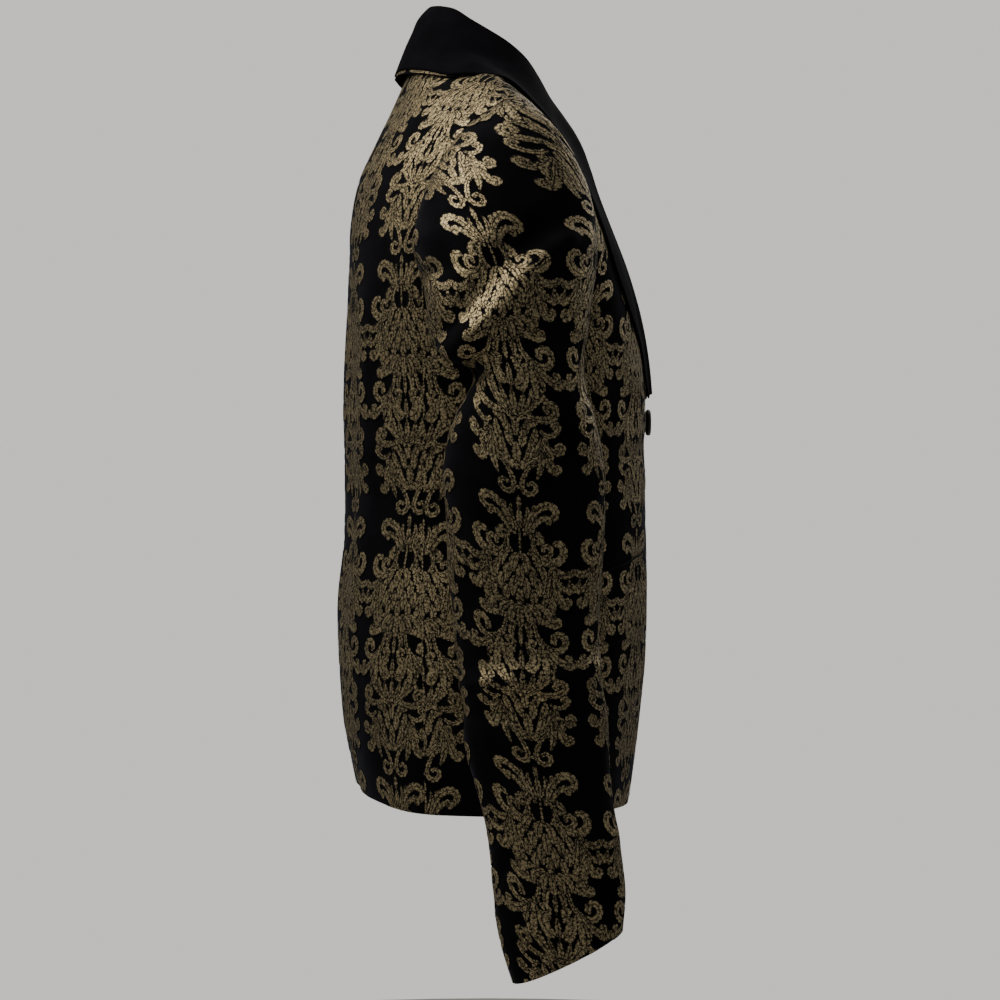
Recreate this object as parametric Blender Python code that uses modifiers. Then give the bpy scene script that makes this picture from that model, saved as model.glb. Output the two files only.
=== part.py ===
"""A single-breasted blazer in velvet brocade with a plain velvet shawl collar, worn shape with nobody in it.

The cloth is cut as a tailor cuts it: two backs, two side panels, two fronts, sleeves of an upper and an
under piece, a shawl collar over an under collar, flapped pockets and one button. Every piece is an open
surface lofted through a short table of sections and given its thickness with Solidify.
Tables are in millimetres, for the wearer's left half (+X); the right half is mirrored. The wearer faces -Y,
+Z is up and the origin is the middle of the neck at the height of the shoulder's neck end.
"""

import math

import bmesh
import bpy
import numpy as np
from mathutils import Vector
from mathutils.bvhtree import BVHTree

MM = 0.001
CLOTH = 1.8
COLLAR_CLOTH = 1.4
UNDER_COLLAR_CLOTH = 1.0
FLAP_CLOTH = 1.6
SEAM_GAP = 0.36
SHOULDER_GAP = 0.7
SEAM_MARGIN = 2.0
LAID_GAP = 0.9
FRONT_OVERLAP_STEP = 2.5
OVERLAP_FROM = 60.0
OVERLAP_BELOW = -200.0
OVERLAP_EASE = 50.0
TORSO_AXIS_Y = -15.0
SIDES = {"left": 1.0, "right": -1.0}

BROCADE_COLOUR = (0.105, 0.080, 0.036)
VELVET_COLOUR = (0.006, 0.006, 0.009)
BUTTON_COLOUR = (0.010, 0.010, 0.012)

# Distance down the cloth from the shoulder seam to each section of the body tables.
LEVELS = np.array([0, 25, 60, 95, 130, 163, 195, 222, 258, 302, 351, 401, 447, 498, 554, 612], float)
UNDERARM_ROW = 6

NAPE = np.array([0.0, 57.0, 18.0])
NECK_ROUND = np.array([52.0, 36.0, 16.0])
NECK_POINT = np.array([74.0, 10.0, 9.0])
SHOULDER_TIP = np.array([190.0, -24.0, -47.0])
SHOULDER_ARCH = 4.0
NECK_SHARE = 0.40
NECK_BLEND = 0.12
BACK_WIDTH = 200.0
SIDE_WIDTH = 98.0
FRONT_WIDTH = 190.0
BACK_COLUMNS = 8
SIDE_COLUMNS = 4
FRONT_COLUMNS = 8

# Back sections below the shoulder seam: centre back, two points across, and the armhole or back seam edge.
# columns: centre y z | first x y z | second x y z | edge x y z
BACK_SECTIONS = np.array([
    (63, -4, 62, 50, -4, 122, 20, -20, 188, -5, -57),
    (75, -32, 63, 64, -31, 124, 43, -42, 184, 12, -71),
    (88, -60, 63, 80, -61, 124, 62, -73, 179, 28, -93),
    (101.5, -92, 63, 95, -93, 123, 77, -105, 175, 40, -118),
    (107, -125, 62, 102.5, -126, 121, 86, -138, 173, 46, -146),
    (108, -160, 62, 104.5, -160, 119, 90, -168, 172, 43, -178),
    (110, -200, 61, 106, -200, 118, 91.5, -202, 170.5, 42, -205),
    (112, -240, 60, 108, -240, 115, 92.5, -241, 167, 42, -242),
    (113, -285, 58.5, 109, -285, 113, 93, -285, 163, 42, -286),
    (112.5, -335, 57.5, 108.5, -335, 111.5, 93, -335, 160.5, 42, -335),
    (113, -385, 58, 109, -385, 113, 93.5, -385, 163, 42.5, -386),
    (117.5, -430, 61, 113, -430, 118, 96, -431, 170, 43, -432),
    (117, -480, 63, 112, -480, 122, 96, -481, 176, 42, -483),
    (112.5, -535, 64, 108, -535, 125, 92, -535, 181, 41, -535),
    (103, -588, 64, 97, -583, 126, 84, -583, 183, 40, -586),
], float)

# Side panel sections from the underarm down: two points between its back seam and its front seam.
# columns: rear x y z | fore x y z
SIDE_SECTIONS = np.array([
    (177, 14, -204, 177, -24, -210),
    (178, 14, -222, 178, -22, -224),
    (175, 14, -248, 175, -20, -250),
    (171, 14, -288, 172, -19, -289),
    (168, 14, -336, 169, -18, -336),
    (171, 14, -387, 171, -18, -387),
    (178, 14, -433, 178, -18, -433),
    (184, 14, -484, 185, -18, -484),
    (189, 13, -535, 191, -18, -535),
    (191, 12, -586, 194, -18, -586),
], float)

# Front sections below the shoulder seam: armhole or front seam edge, two points across, and the front edge,
# which follows the lapel's roll line to the button and then overlaps the centre.
# columns: edge x y z | first x y z | second x y z | front x y z
FRONT_SECTIONS = np.array([
    (187, -45, -55, 150, -36, -40, 114, -26, -22, 74, -14, 0),
    (182, -60, -73, 148, -58, -64, 110, -52, -46, 70, -40, -22),
    (176, -70, -98, 144, -74, -92, 104, -74, -76, 62, -66, -52),
    (170, -75, -124, 140, -86, -120, 100, -92, -108, 53, -88, -84),
    (167, -77, -150, 137, -95, -148, 96, -106, -138, 42, -104, -118),
    (170, -62, -188, 139, -100, -184, 93, -116, -172, 33, -117, -150),
    (171, -52, -208, 141, -100, -210, 92, -121, -202, 24, -126, -183),
    (168, -49, -243, 140, -99, -243, 91, -125, -238, 13, -133, -222),
    (165, -48, -286, 138, -96, -286, 90, -125, -282, 1, -136, -262),
    (162, -48, -335, 136, -95, -335, 86, -126, -333, -18, -135.5, -315),
    (164, -48, -386, 138, -95, -386, 87, -127, -386, -18, -137, -378),
    (171, -48, -432, 144, -97, -432, 90, -128, -432, -18, -137.5, -428),
    (178, -48, -483, 149, -97, -483, 92, -127, -483, -18, -136, -481),
    (184, -48, -535, 154, -95, -536, 94, -122, -538, -18, -131, -540),
    (187, -48, -586, 157, -91, -588, 95, -115, -594, -17, -123, -602),
], float)

# Sleeve sections from the biceps to the cuff, with the drag fold behind the upper arm and the elbow's bend.
# columns: height, centre y, back y, front y, inner x, outer x, drop of the back edge per mm towards the back
SLEEVE_SECTIONS = np.array([
    (-225, -24, 35, -81, 186, 272, 0.00),
    (-239, -25, 28, -78, 186, 273, 0.00),
    (-250, -27, 6, -78, 187, 273, 0.00),
    (-263, -29, 5, -79, 187, 273, 0.00),
    (-284, -32, 15, -85, 187, 274, 0.00),
    (-305, -33, 22, -90, 187, 275, 0.00),
    (-324, -34, 25, -93, 187, 275, 0.00),
    (-350, -35, 23, -94, 187, 274, 0.02),
    (-386, -36, 21, -92, 188, 273, 0.04),
    (-422, -36, 18, -90, 189, 272, 0.06),
    (-458, -37, 15, -89, 192, 272, 0.08),
    (-486, -39, 10, -91, 194, 272, 0.09),
    (-508, -42, 10, -95, 195, 271, 0.10),
    (-530, -45, 7, -96, 196, 270, 0.12),
    (-552, -49, 0, -97, 198, 269, 0.14),
    (-574, -52, -6, -99, 199, 268, 0.17),
    (-598, -56, -10, -102, 200, 268, 0.21),
    (-626, -60, -12, -106, 201, 267, 0.29),
    (-652, -63, -17, -108, 202, 266, 0.38),
    (-680, -66, -26, -106, 203, 265, 0.48),
], float)
SLEEVE_SQUARENESS = 2.25
ARM_AXIS = np.array([229.0, -36.0, 0.0])
CAP_REACH_TOP = 150.0
CAP_REACH_UNDER = 26.0
# How the sleeve's head leaves the armhole: outwards, swelling to the back and the front, and downwards.
CAP_OUT = 0.90
CAP_SWELL_BACK = 0.30
CAP_SWELL_FRONT = 0.85
CAP_DROP = 0.32
CAP_CROWN_LIFT = 0.10
HIND_SEAM_DEG = 118.0
FORE_SEAM_DEG = 245.0
CAP_ROWS = 9
UPPER_SLEEVE_COLUMNS = 11
UNDER_SLEEVE_COLUMNS = 5

# Soft folds pressed into the sleeves, along a line on the unrolled sleeve.
# columns: start degrees round from outside, start height, end degrees, end height, half width, rise
SLEEVE_FOLDS = np.array([
    (-18, -135, 82, -232, 15, 6.0),
    (30, -120, 92, -196, 11, -4.5),
    (-40, -190, 50, -268, 14, -4.0),
    (-60, -300, 40, -352, 18, 3.0),
    (-70, -470, 75, -482, 13, 3.0),
    (-50, -520, 60, -556, 13, -2.5),
], float)
SLEEVE_UNROLL_RADIUS = 52.0
FOLD_FADE = 22.0

# Soft folds in the backs and fronts, along a line on the worn cloth seen from behind or in front.
# columns: start x z, end x z, half width, rise
BACK_FOLDS = np.array([
    (92, -215, 84, -450, 16, -3.0),
    (128, -180, 120, -330, 13, 2.5),
], float)

# Collar stations from the centre back to the button: the fold, the foot of the stand, which turns under the
# lapel as a narrow roll, the fall's middle and its outer edge, and the fold's own roundness.
# columns: fold x y z | foot x y z | middle x y z | edge x y z | fold radius
COLLAR_STATIONS = np.array([
    (0, 38, 60, 0, 49, 24, 0, 60, 32, 0, 72, 3, 3.2),
    (24, 34, 58, 26, 44, 24, 34, 55, 30, 40, 66, 1, 3.2),
    (46, 20, 50, 50, 27, 20, 66, 37, 23, 82, 46, -4, 3.2),
    (63, 0, 36, 67, 5, 13, 88, 9, 11, 108, 14, -6, 3.2),
    (67, -20, 22, 69, -18, 4, 92, -16, 2, 114, -14, -14, 3.0),
    (66, -37, 6, 68, -36, -9, 91, -40, -14, 115, -42, -32, 2.8),
    (61, -58, -29, 65, -56, -37, 87, -64, -46, 113, -66, -66, 2.5),
    (54, -78, -58, 60, -75, -63, 82, -82, -76, 112, -82, -96, 2.2),
    (47, -95, -88, 55, -92, -93, 76, -98, -107, 108, -94, -126, 2.1),
    (38, -112, -126, 47, -108, -131, 68, -111, -145, 99, -106, -164, 2.1),
    (29, -126, -165, 38, -122, -169, 56, -124, -180, 83, -119, -196, 2.1),
    (19, -134, -203, 27, -131, -206, 41, -133, -214, 61, -130, -226, 2.1),
    (10, -139, -240, 17, -136, -242, 24, -139, -246, 37, -137, -252, 2.1),
    (4, -141, -262, 8, -140, -263, 12, -142, -265, 19, -141, -268, 2.0),
], float)
COLLAR_ALONG = 24
COLLAR_CLEARANCE = 4.0
ROLL_CLEARANCE = 0.8
ROLL_BELOW = -25.0
CLEARANCE_REACH = 14.0
STAND_COLUMNS = 3
UNDER_COLLAR_ROWS = 6
UNDER_COLLAR_INSET = 0.6
UNDER_COLLAR_COLUMNS = 4

# Pocket: where its line starts near the front edge and ends near the side seam, on the front panel.
POCKET_FORE = (0.57, -400.0)
POCKET_AFT = (0.02, -421.0)
FLAP_DROP = 51.0
FLAP_COLUMNS = 8
FLAP_ROWS = 4
WELT_HEIGHT = 7.0
WELT_ROWS = 2
POCKET_ABOVE_ROW = 9
POCKET_FINE_ROWS = 240

BUTTON_RADIUS = 11.0
BUTTON_THICK = 4.2
BUTTON_HEIGHT = -288.0
BUTTON_STANDOFF = 0.5
BUTTON_RIM = 1.1
BUTTON_REACH = 26.0
BUTTON_SEGMENTS = 24


def clear_scene():
    for obj in list(bpy.data.objects):
        bpy.data.objects.remove(obj, do_unlink=True)


def make_material(name, colour, roughness):
    material = bpy.data.materials.new(name)
    material.use_nodes = True
    shader = material.node_tree.nodes["Principled BSDF"]
    shader.inputs["Base Color"].default_value = (*colour, 1.0)
    shader.inputs["Roughness"].default_value = roughness
    shader.inputs["Metallic"].default_value = 0.0
    return material


# Smooth curves and lofted surfaces

def smooth(knots, values, at):
    """A smooth curve through the values at their knots, read at other knots."""
    knots = np.asarray(knots, float)
    values = np.asarray(values, float)
    at = np.clip(np.asarray(at, float), knots[0], knots[-1])
    step = np.diff(knots)
    slope = np.diff(values, axis=0) / step.reshape(-1, *[1] * (values.ndim - 1))
    tangent = np.empty_like(values)
    tangent[0], tangent[-1] = slope[0], slope[-1]
    before = step[:-1].reshape(-1, *[1] * (values.ndim - 1))
    after = step[1:].reshape(-1, *[1] * (values.ndim - 1))
    tangent[1:-1] = (slope[:-1] * after + slope[1:] * before) / (before + after)
    k = np.clip(np.searchsorted(knots, at, side="right") - 1, 0, len(step) - 1)
    shape = (-1, *[1] * (values.ndim - 1))
    u = ((at - knots[k]) / step[k]).reshape(shape)
    width = step[k].reshape(shape)
    return (values[k] * (1 + 2 * u) * (1 - u) ** 2 + values[k + 1] * u * u * (3 - 2 * u)
            + tangent[k] * width * u * (1 - u) ** 2 + tangent[k + 1] * width * u * u * (u - 1))


def along(points, first, last, shares):
    """A smooth curve through points, read at shares of the way from one of them to another."""
    points = np.asarray(points, float)
    knots = np.concatenate([[0], np.cumsum(np.linalg.norm(np.diff(points, axis=0), axis=1))])
    return smooth(knots, points, knots[first] + (knots[last] - knots[first]) * np.asarray(shares))


def trimmed(count, width):
    """Shares from edge to edge, drawn in by half the seam gap, with a narrow margin along both seams."""
    inset, margin = SEAM_GAP / 2 / width, SEAM_MARGIN / width
    even = np.linspace(inset + margin, 1 - inset - margin, count)
    return np.concatenate([[inset], even, [1 - inset]])


def mirrored(point):
    return np.asarray(point, float) * (-1, 1, 1)


def shoulder_seam(shares):
    """The shoulder seam from the neck point to the shoulder's tip, a little arched."""
    shares = np.asarray(shares, float)[:, None]
    arch = SHOULDER_ARCH * 4 * shares * (1 - shares) * np.array([0, 0, 1.0])
    return NECK_POINT + (SHOULDER_TIP - NECK_POINT) * shares + arch


def back_row(row, shares):
    """One section of the back, from the centre back to the armhole or the back seam."""
    if row == 0:
        neck = along([mirrored(NECK_ROUND), NAPE, NECK_ROUND, NECK_POINT], 1, 3,
                     np.clip(shares / NECK_SHARE, 0, 1))
        seam = shoulder_seam(np.clip((shares - NECK_SHARE) / (1 - NECK_SHARE), 0, 1))
        return np.where((shares < NECK_SHARE)[:, None], neck, seam)
    section = BACK_SECTIONS[row - 1]
    centre = np.array([0, *section[:2]])
    first, second, edge = section[2:].reshape(3, 3)
    ring = [mirrored(first), centre, first, second, edge]
    if row >= UNDERARM_ROW:
        ring.append(SIDE_SECTIONS[row - UNDERARM_ROW][:3])
    return along(ring, 1, 4, shares)


def front_row(row, shares):
    """One section of the front, from the armhole or the front seam to the front edge."""
    if row == 0:
        return shoulder_seam(1 - np.asarray(shares))
    points = list(FRONT_SECTIONS[row - 1].reshape(4, 3))
    if row >= UNDERARM_ROW:
        points.insert(0, SIDE_SECTIONS[row - UNDERARM_ROW][3:])
    return along(points, len(points) - 4, len(points) - 1, shares)


def side_row(row, shares):
    """One section of the side panel, from the back seam to the front seam."""
    back, front = BACK_SECTIONS[row - 1], FRONT_SECTIONS[row - 1]
    rear, fore = SIDE_SECTIONS[row - UNDERARM_ROW].reshape(2, 3)
    ring = [back[5:8], back[8:11], rear, fore, front[0:3], front[3:6]]
    return along(ring, 1, 4, shares)


def over_seam(row_curve, shares):
    """The first section beyond the shoulder seam, so that front and back meet there in one round."""
    if row_curve is front_row:
        return back_row(1, NECK_SHARE + (1 - np.asarray(shares)) * (1 - NECK_SHARE))
    across = front_row(1, np.clip(1 - (shares - NECK_SHARE) / (1 - NECK_SHARE), 0, 1))
    onward = 2 * back_row(0, shares) - back_row(1, shares)
    blend = np.clip((shares - NECK_SHARE) / NECK_BLEND, 0, 1)[:, None]
    return onward + (across - onward) * blend


def loft(row_curve, first_row, shares, distances):
    """Sections from a table, joined smoothly down the cloth. Gives rows of points, top to hem."""
    rows = [row_curve(row, shares) for row in range(first_row, len(LEVELS))]
    knots = LEVELS[first_row:]
    if first_row == 0:
        rows.insert(0, over_seam(row_curve, shares))
        knots = np.concatenate([[-LEVELS[1]], knots])
    return smooth(knots, np.array(rows), distances)


def ridge(across, start, end, half_width, rise):
    """How far a fold lifts each point of a plane, fading out at both ends of its line."""
    start, end = np.asarray(start, float), np.asarray(end, float)
    line = end - start
    length = np.linalg.norm(line)
    direction = line / length
    away = across - start
    reach = away @ direction
    side = np.abs(away[..., 0] * direction[1] - away[..., 1] * direction[0])
    begun = np.clip((reach + FOLD_FADE) / (2 * FOLD_FADE), 0, 1)
    ending = np.clip((length + FOLD_FADE - reach) / (2 * FOLD_FADE), 0, 1)
    fade = begun * ending
    return rise * np.exp(-((side / half_width) ** 2)) * fade * fade * (3 - 2 * fade)


def normals_of(points, outward):
    """Unit normals of a grid of points, turned to the side where outward is positive."""
    across = np.gradient(points, axis=1)
    down = np.gradient(points, axis=0)
    normal = np.cross(across, down)
    normal /= np.linalg.norm(normal, axis=2, keepdims=True)
    return normal * (1 if (normal * outward).sum() > 0 else -1)


def from_torso(points):
    """Directions away from the torso's upright axis."""
    return (points - np.array([0, TORSO_AXIS_Y, 0])) * (1, 1, 0)


# Body panels

def body_distances():
    """Rows of the body's mesh, two to each section of the tables, clear of the shoulder seam."""
    halves = np.sort(np.concatenate([LEVELS, (LEVELS[1:] + LEVELS[:-1]) / 2]))
    halves[0] = SHOULDER_GAP / 2
    return np.insert(halves, 1, SEAM_MARGIN)


def back_points():
    points = loft(back_row, 0, trimmed(BACK_COLUMNS, BACK_WIDTH), body_distances())
    lift = sum(ridge(points[..., [0, 2]], fold[0:2], fold[2:4], fold[4], fold[5]) for fold in BACK_FOLDS)
    return points + normals_of(points, from_torso(points)) * lift[..., None]


def front_points():
    return loft(front_row, 0, trimmed(FRONT_COLUMNS, FRONT_WIDTH), body_distances())


def side_points():
    distances = body_distances()
    below_arm = distances[distances >= LEVELS[UNDERARM_ROW]]
    return loft(side_row, UNDERARM_ROW, trimmed(SIDE_COLUMNS, SIDE_WIDTH), below_arm)


def overlapped(points, side):
    """The right front laps over the left, so their edges step apart towards the centre."""
    inwards = np.clip((OVERLAP_FROM - points[..., 0]) / OVERLAP_FROM, 0, 1)
    share = inwards * np.clip((OVERLAP_BELOW - points[..., 2]) / OVERLAP_EASE, 0, 1)
    step = FRONT_OVERLAP_STEP * share * share * (3 - 2 * share) * (1 if side == "left" else -1)
    return points + step[..., None] * np.array([0, 1.0, 0])


# Sleeves

def armhole_loop(count=97):
    """The armhole's edge, round from the shoulder tip by the back, the underarm and the front."""
    fine = np.linspace(0, LEVELS[UNDERARM_ROW], 40)
    back = loft(back_row, 0, np.array([1.0]), fine)[:, 0]
    under = side_row(UNDERARM_ROW, np.linspace(0, 1, 30))
    front = loft(front_row, 0, np.array([0.0]), fine)[::-1, 0]
    loop = np.concatenate([back, under[1:-1], front])
    lengths = np.concatenate([[0], np.cumsum(np.linalg.norm(np.diff(loop, axis=0), axis=1))])
    even = np.linspace(0, lengths[-1], count)
    return np.stack([np.interp(even, lengths, loop[:, k]) for k in range(3)], axis=1)


def sleeve_ring(section, angles):
    """A closed section of the sleeve. Zero degrees is outside, ninety is the back."""
    height, centre_y, back_y, front_y, inner_x, outer_x, drop = section
    half = 2.0 / SLEEVE_SQUARENESS
    cosine, sine = np.cos(angles), np.sin(angles)
    x = (inner_x + outer_x) / 2 + (outer_x - inner_x) / 2 * np.sign(cosine) * np.abs(cosine) ** half
    reach = np.where(sine > 0, back_y - centre_y, centre_y - front_y)
    y = centre_y + reach * np.sign(sine) * np.abs(sine) ** half
    return np.stack([x, y, height - drop * (y - centre_y)], axis=1)


def sleeve_points(angles):
    """Rows of the sleeve from the armhole to the cuff: a cap rolled over the shoulder, then the arm."""
    loop = armhole_loop()
    turn = np.mod(angles, 2 * math.pi) / (2 * math.pi)
    places = np.linspace(0, 1, len(loop))
    start = np.stack([np.interp(turn, places, loop[:, k]) for k in range(3)], axis=1)
    start = start + np.array([SEAM_GAP, 0, 0])
    end = sleeve_ring(SLEEVE_SECTIONS[0], angles)
    up = ((1 + np.cos(angles)) / 2)[:, None]
    reach = CAP_REACH_UNDER + (CAP_REACH_TOP - CAP_REACH_UNDER) * up
    swell = np.where(np.sin(angles) > 0, CAP_SWELL_BACK, CAP_SWELL_FRONT) * np.sin(angles)
    fall = CAP_CROWN_LIFT * np.cos(angles) - CAP_DROP
    leave = np.stack([np.full_like(angles, CAP_OUT), swell, fall], axis=1)
    arrive = np.array([0, 0, -1.0])
    u = np.linspace(0, 1, CAP_ROWS)[:, None, None]
    cap = (start * (1 + 2 * u) * (1 - u) ** 2 + end * u * u * (3 - 2 * u)
           + leave * reach * u * (1 - u) ** 2 + arrive * reach * u * u * (u - 1))
    arm = np.array([sleeve_ring(section, angles) for section in SLEEVE_SECTIONS[1:]])
    points = np.concatenate([cap, arm])
    outward = (points - ARM_AXIS) * (1, 1, 0)
    degrees = np.degrees(np.where(angles > math.pi, angles - 2 * math.pi, angles))
    flat = np.stack([np.broadcast_to(degrees * math.pi / 180 * SLEEVE_UNROLL_RADIUS, points.shape[:2]),
                     points[..., 2]], axis=2)
    lift = np.zeros(points.shape[:2])
    for begin_deg, begin_z, end_deg, end_z, half_width, rise in SLEEVE_FOLDS:
        to_mm = math.pi / 180 * SLEEVE_UNROLL_RADIUS
        lift += ridge(flat, (begin_deg * to_mm, begin_z), (end_deg * to_mm, end_z), half_width, rise)
    return points + normals_of(points, outward) * lift[..., None]


def sleeve_angles(first_deg, last_deg, columns):
    """Angles from seam to seam, drawn in and margined like the body's seams."""
    span = last_deg - first_deg
    return np.radians(first_deg + span * trimmed(columns, math.radians(span) * SLEEVE_UNROLL_RADIUS))


# Collar

def collar_stations():
    knots = np.concatenate([[0], np.cumsum(np.linalg.norm(np.diff(COLLAR_STATIONS[:, 0:3], axis=0), axis=1))])
    inset = SEAM_GAP / 2 / knots[-1]
    shares = np.linspace(inset, 1.0, COLLAR_ALONG)
    return smooth(knots / knots[-1], COLLAR_STATIONS, shares)


def collar_points():
    """Rows along the collar; each goes from the stand's foot, over the fold, to the fall's edge."""
    rows = []
    for station in collar_stations():
        fold, foot, middle, edge = station[:12].reshape(4, 3)
        radius = station[12]
        rise = (fold - foot) / np.linalg.norm(fold - foot)
        out = (middle - foot) - rise * np.dot(middle - foot, rise)
        out /= np.linalg.norm(out)
        inner = fold - rise * radius
        crown = inner + (out + rise) * radius
        outer = inner + out * 2 * radius
        fall = along([crown, outer, middle, edge], 1, 3, np.linspace(0, 1, 6))
        rows.append([foot, (foot + inner) / 2, inner, crown, *fall])
    return np.array(rows)


def settled_collar(under):
    """The collar with its fall clear of the pieces below and the lapel's roll just clear of the front."""
    points = collar_points()
    fall, stand = points[:, STAND_COLUMNS:], points[:, :STAND_COLUMNS]
    rolled = stand[:, -1, 2] < ROLL_BELOW
    stand[rolled] = lifted_clear(stand[rolled], under, ROLL_CLEARANCE)
    points[:, STAND_COLUMNS:] = lifted_clear(fall, under, COLLAR_CLEARANCE)
    return points


def lifted_clear(points, under, clearance):
    """Points moved away from the pieces below until all are the clearance above their faces."""
    moved = points.reshape(-1, 3).copy()
    for tree in under:
        for i, point in enumerate(moved):
            place, normal, _, _ = tree.find_nearest(Vector(point), CLEARANCE_REACH)
            if place is not None:
                above = (Vector(point) - place).dot(normal)
                moved[i] += np.array(normal) * max(clearance - above, 0)
    return moved.reshape(points.shape)


def under_collar_points(collar):
    """The under collar, behind the lower part of the fall from the centre back to the shoulder."""
    fall = collar[:UNDER_COLLAR_ROWS, -UNDER_COLLAR_COLUMNS:]
    behind = normals_of(collar, from_torso(collar))[:UNDER_COLLAR_ROWS, -UNDER_COLLAR_COLUMNS:]
    points = fall - behind * (COLLAR_CLOTH + SEAM_GAP)
    points[0, :, 0] = UNDER_COLLAR_INSET
    return points


def tree_of(points):
    """A search tree of a grid of points, with its faces turned away from the torso."""
    rows, columns = points.shape[:2]
    index = np.arange(rows * columns).reshape(rows, columns)
    quads = np.stack([index[:-1, :-1], index[:-1, 1:], index[1:, 1:], index[1:, :-1]], axis=2).reshape(-1, 4)
    corners = points.reshape(-1, 3)
    first_diagonal = corners[quads[:, 2]] - corners[quads[:, 0]]
    second_diagonal = corners[quads[:, 3]] - corners[quads[:, 1]]
    facing = np.cross(first_diagonal, second_diagonal)
    centres = corners[quads].mean(axis=1)
    if (facing * from_torso(centres)).sum() < 0:
        quads = quads[:, ::-1]
    return BVHTree.FromPolygons([Vector(p) for p in corners], quads.tolist())


# Objects

def cloth_object(name, points, side, outward, thickness, material, collection):
    """A grid of points in millimetres as an object with a wall behind its outer face."""
    rows, columns = points.shape[:2]
    placed = points * np.array([SIDES[side], 1, 1]) * MM
    away = outward * np.array([SIDES[side], 1, 1])
    grid = bmesh.new()
    bmesh.ops.create_grid(grid, x_segments=columns - 1, y_segments=rows - 1, size=1.0)
    for vertex in grid.verts:
        column = round((vertex.co.x + 1) / 2 * (columns - 1))
        row = round((vertex.co.y + 1) / 2 * (rows - 1))
        vertex.co = placed[row, column]
    grid.normal_update()
    outside = normals_of(placed, away)
    middle_row, middle_column = rows // 2, columns // 2
    corner = min(grid.verts, key=lambda v: (v.co - Vector(placed[middle_row, middle_column])).length)
    if corner.normal.dot(Vector(outside[middle_row, middle_column])) < 0:
        bmesh.ops.reverse_faces(grid, faces=grid.faces)
    mesh = bpy.data.meshes.new(name)
    grid.to_mesh(mesh)
    grid.free()
    mesh.shade_smooth()
    mesh.materials.append(material)
    obj = bpy.data.objects.new(name, mesh)
    collection.objects.link(obj)
    wall = obj.modifiers.new("wall", "SOLIDIFY")
    wall.thickness = thickness * MM
    wall.offset = -1.0
    wall.use_even_offset = True
    wall.use_rim = True
    return obj


def pocket_patch(side, top_offset, bottom_offset, rows):
    """A patch of the front between two lines that follow the pocket's slant, moved out from the cloth."""
    shares = np.linspace(POCKET_FORE[0], POCKET_AFT[0], FLAP_COLUMNS)
    fine = np.linspace(LEVELS[POCKET_ABOVE_ROW], LEVELS[-1], POCKET_FINE_ROWS)
    sheet = overlapped(loft(front_row, 0, shares, fine), side)
    heights = np.linspace(POCKET_FORE[1], POCKET_AFT[1], FLAP_COLUMNS)
    patch = np.empty((rows, FLAP_COLUMNS, 3))
    for column in range(FLAP_COLUMNS):
        wanted = heights[column] - np.linspace(top_offset, bottom_offset, rows)
        for axis in range(3):
            patch[:, column, axis] = np.interp(-wanted, -sheet[:, column, 2], sheet[:, column, axis])
    return patch + normals_of(patch, from_torso(patch)) * (LAID_GAP + FLAP_CLOTH)


def make_button(material, front_grid, collection):
    """A flat button with rounded rims at the closing point, standing just off the right front."""
    bpy.ops.mesh.primitive_cylinder_add(vertices=BUTTON_SEGMENTS, radius=BUTTON_RADIUS * MM,
                                        depth=BUTTON_THICK * MM)
    button = bpy.context.object
    button.name = "front_button"
    button.data.name = "front_button"
    cloth = front_grid.reshape(-1, 3)
    near = (np.abs(cloth[:, 2] - BUTTON_HEIGHT) < BUTTON_REACH) & (np.abs(cloth[:, 0]) < BUTTON_REACH)
    surface_y = cloth[near, 1].min()
    button.location = (0, (surface_y - BUTTON_STANDOFF - BUTTON_THICK / 2) * MM, BUTTON_HEIGHT * MM)
    button.rotation_euler = (math.pi / 2, 0, 0)
    rim = button.modifiers.new("rim", "BEVEL")
    rim.width = BUTTON_RIM * MM
    rim.segments = 2
    rim.limit_method = "ANGLE"
    button.data.materials.append(material)
    for owner in list(button.users_collection):
        owner.objects.unlink(button)
    collection.objects.link(button)
    return button


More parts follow.
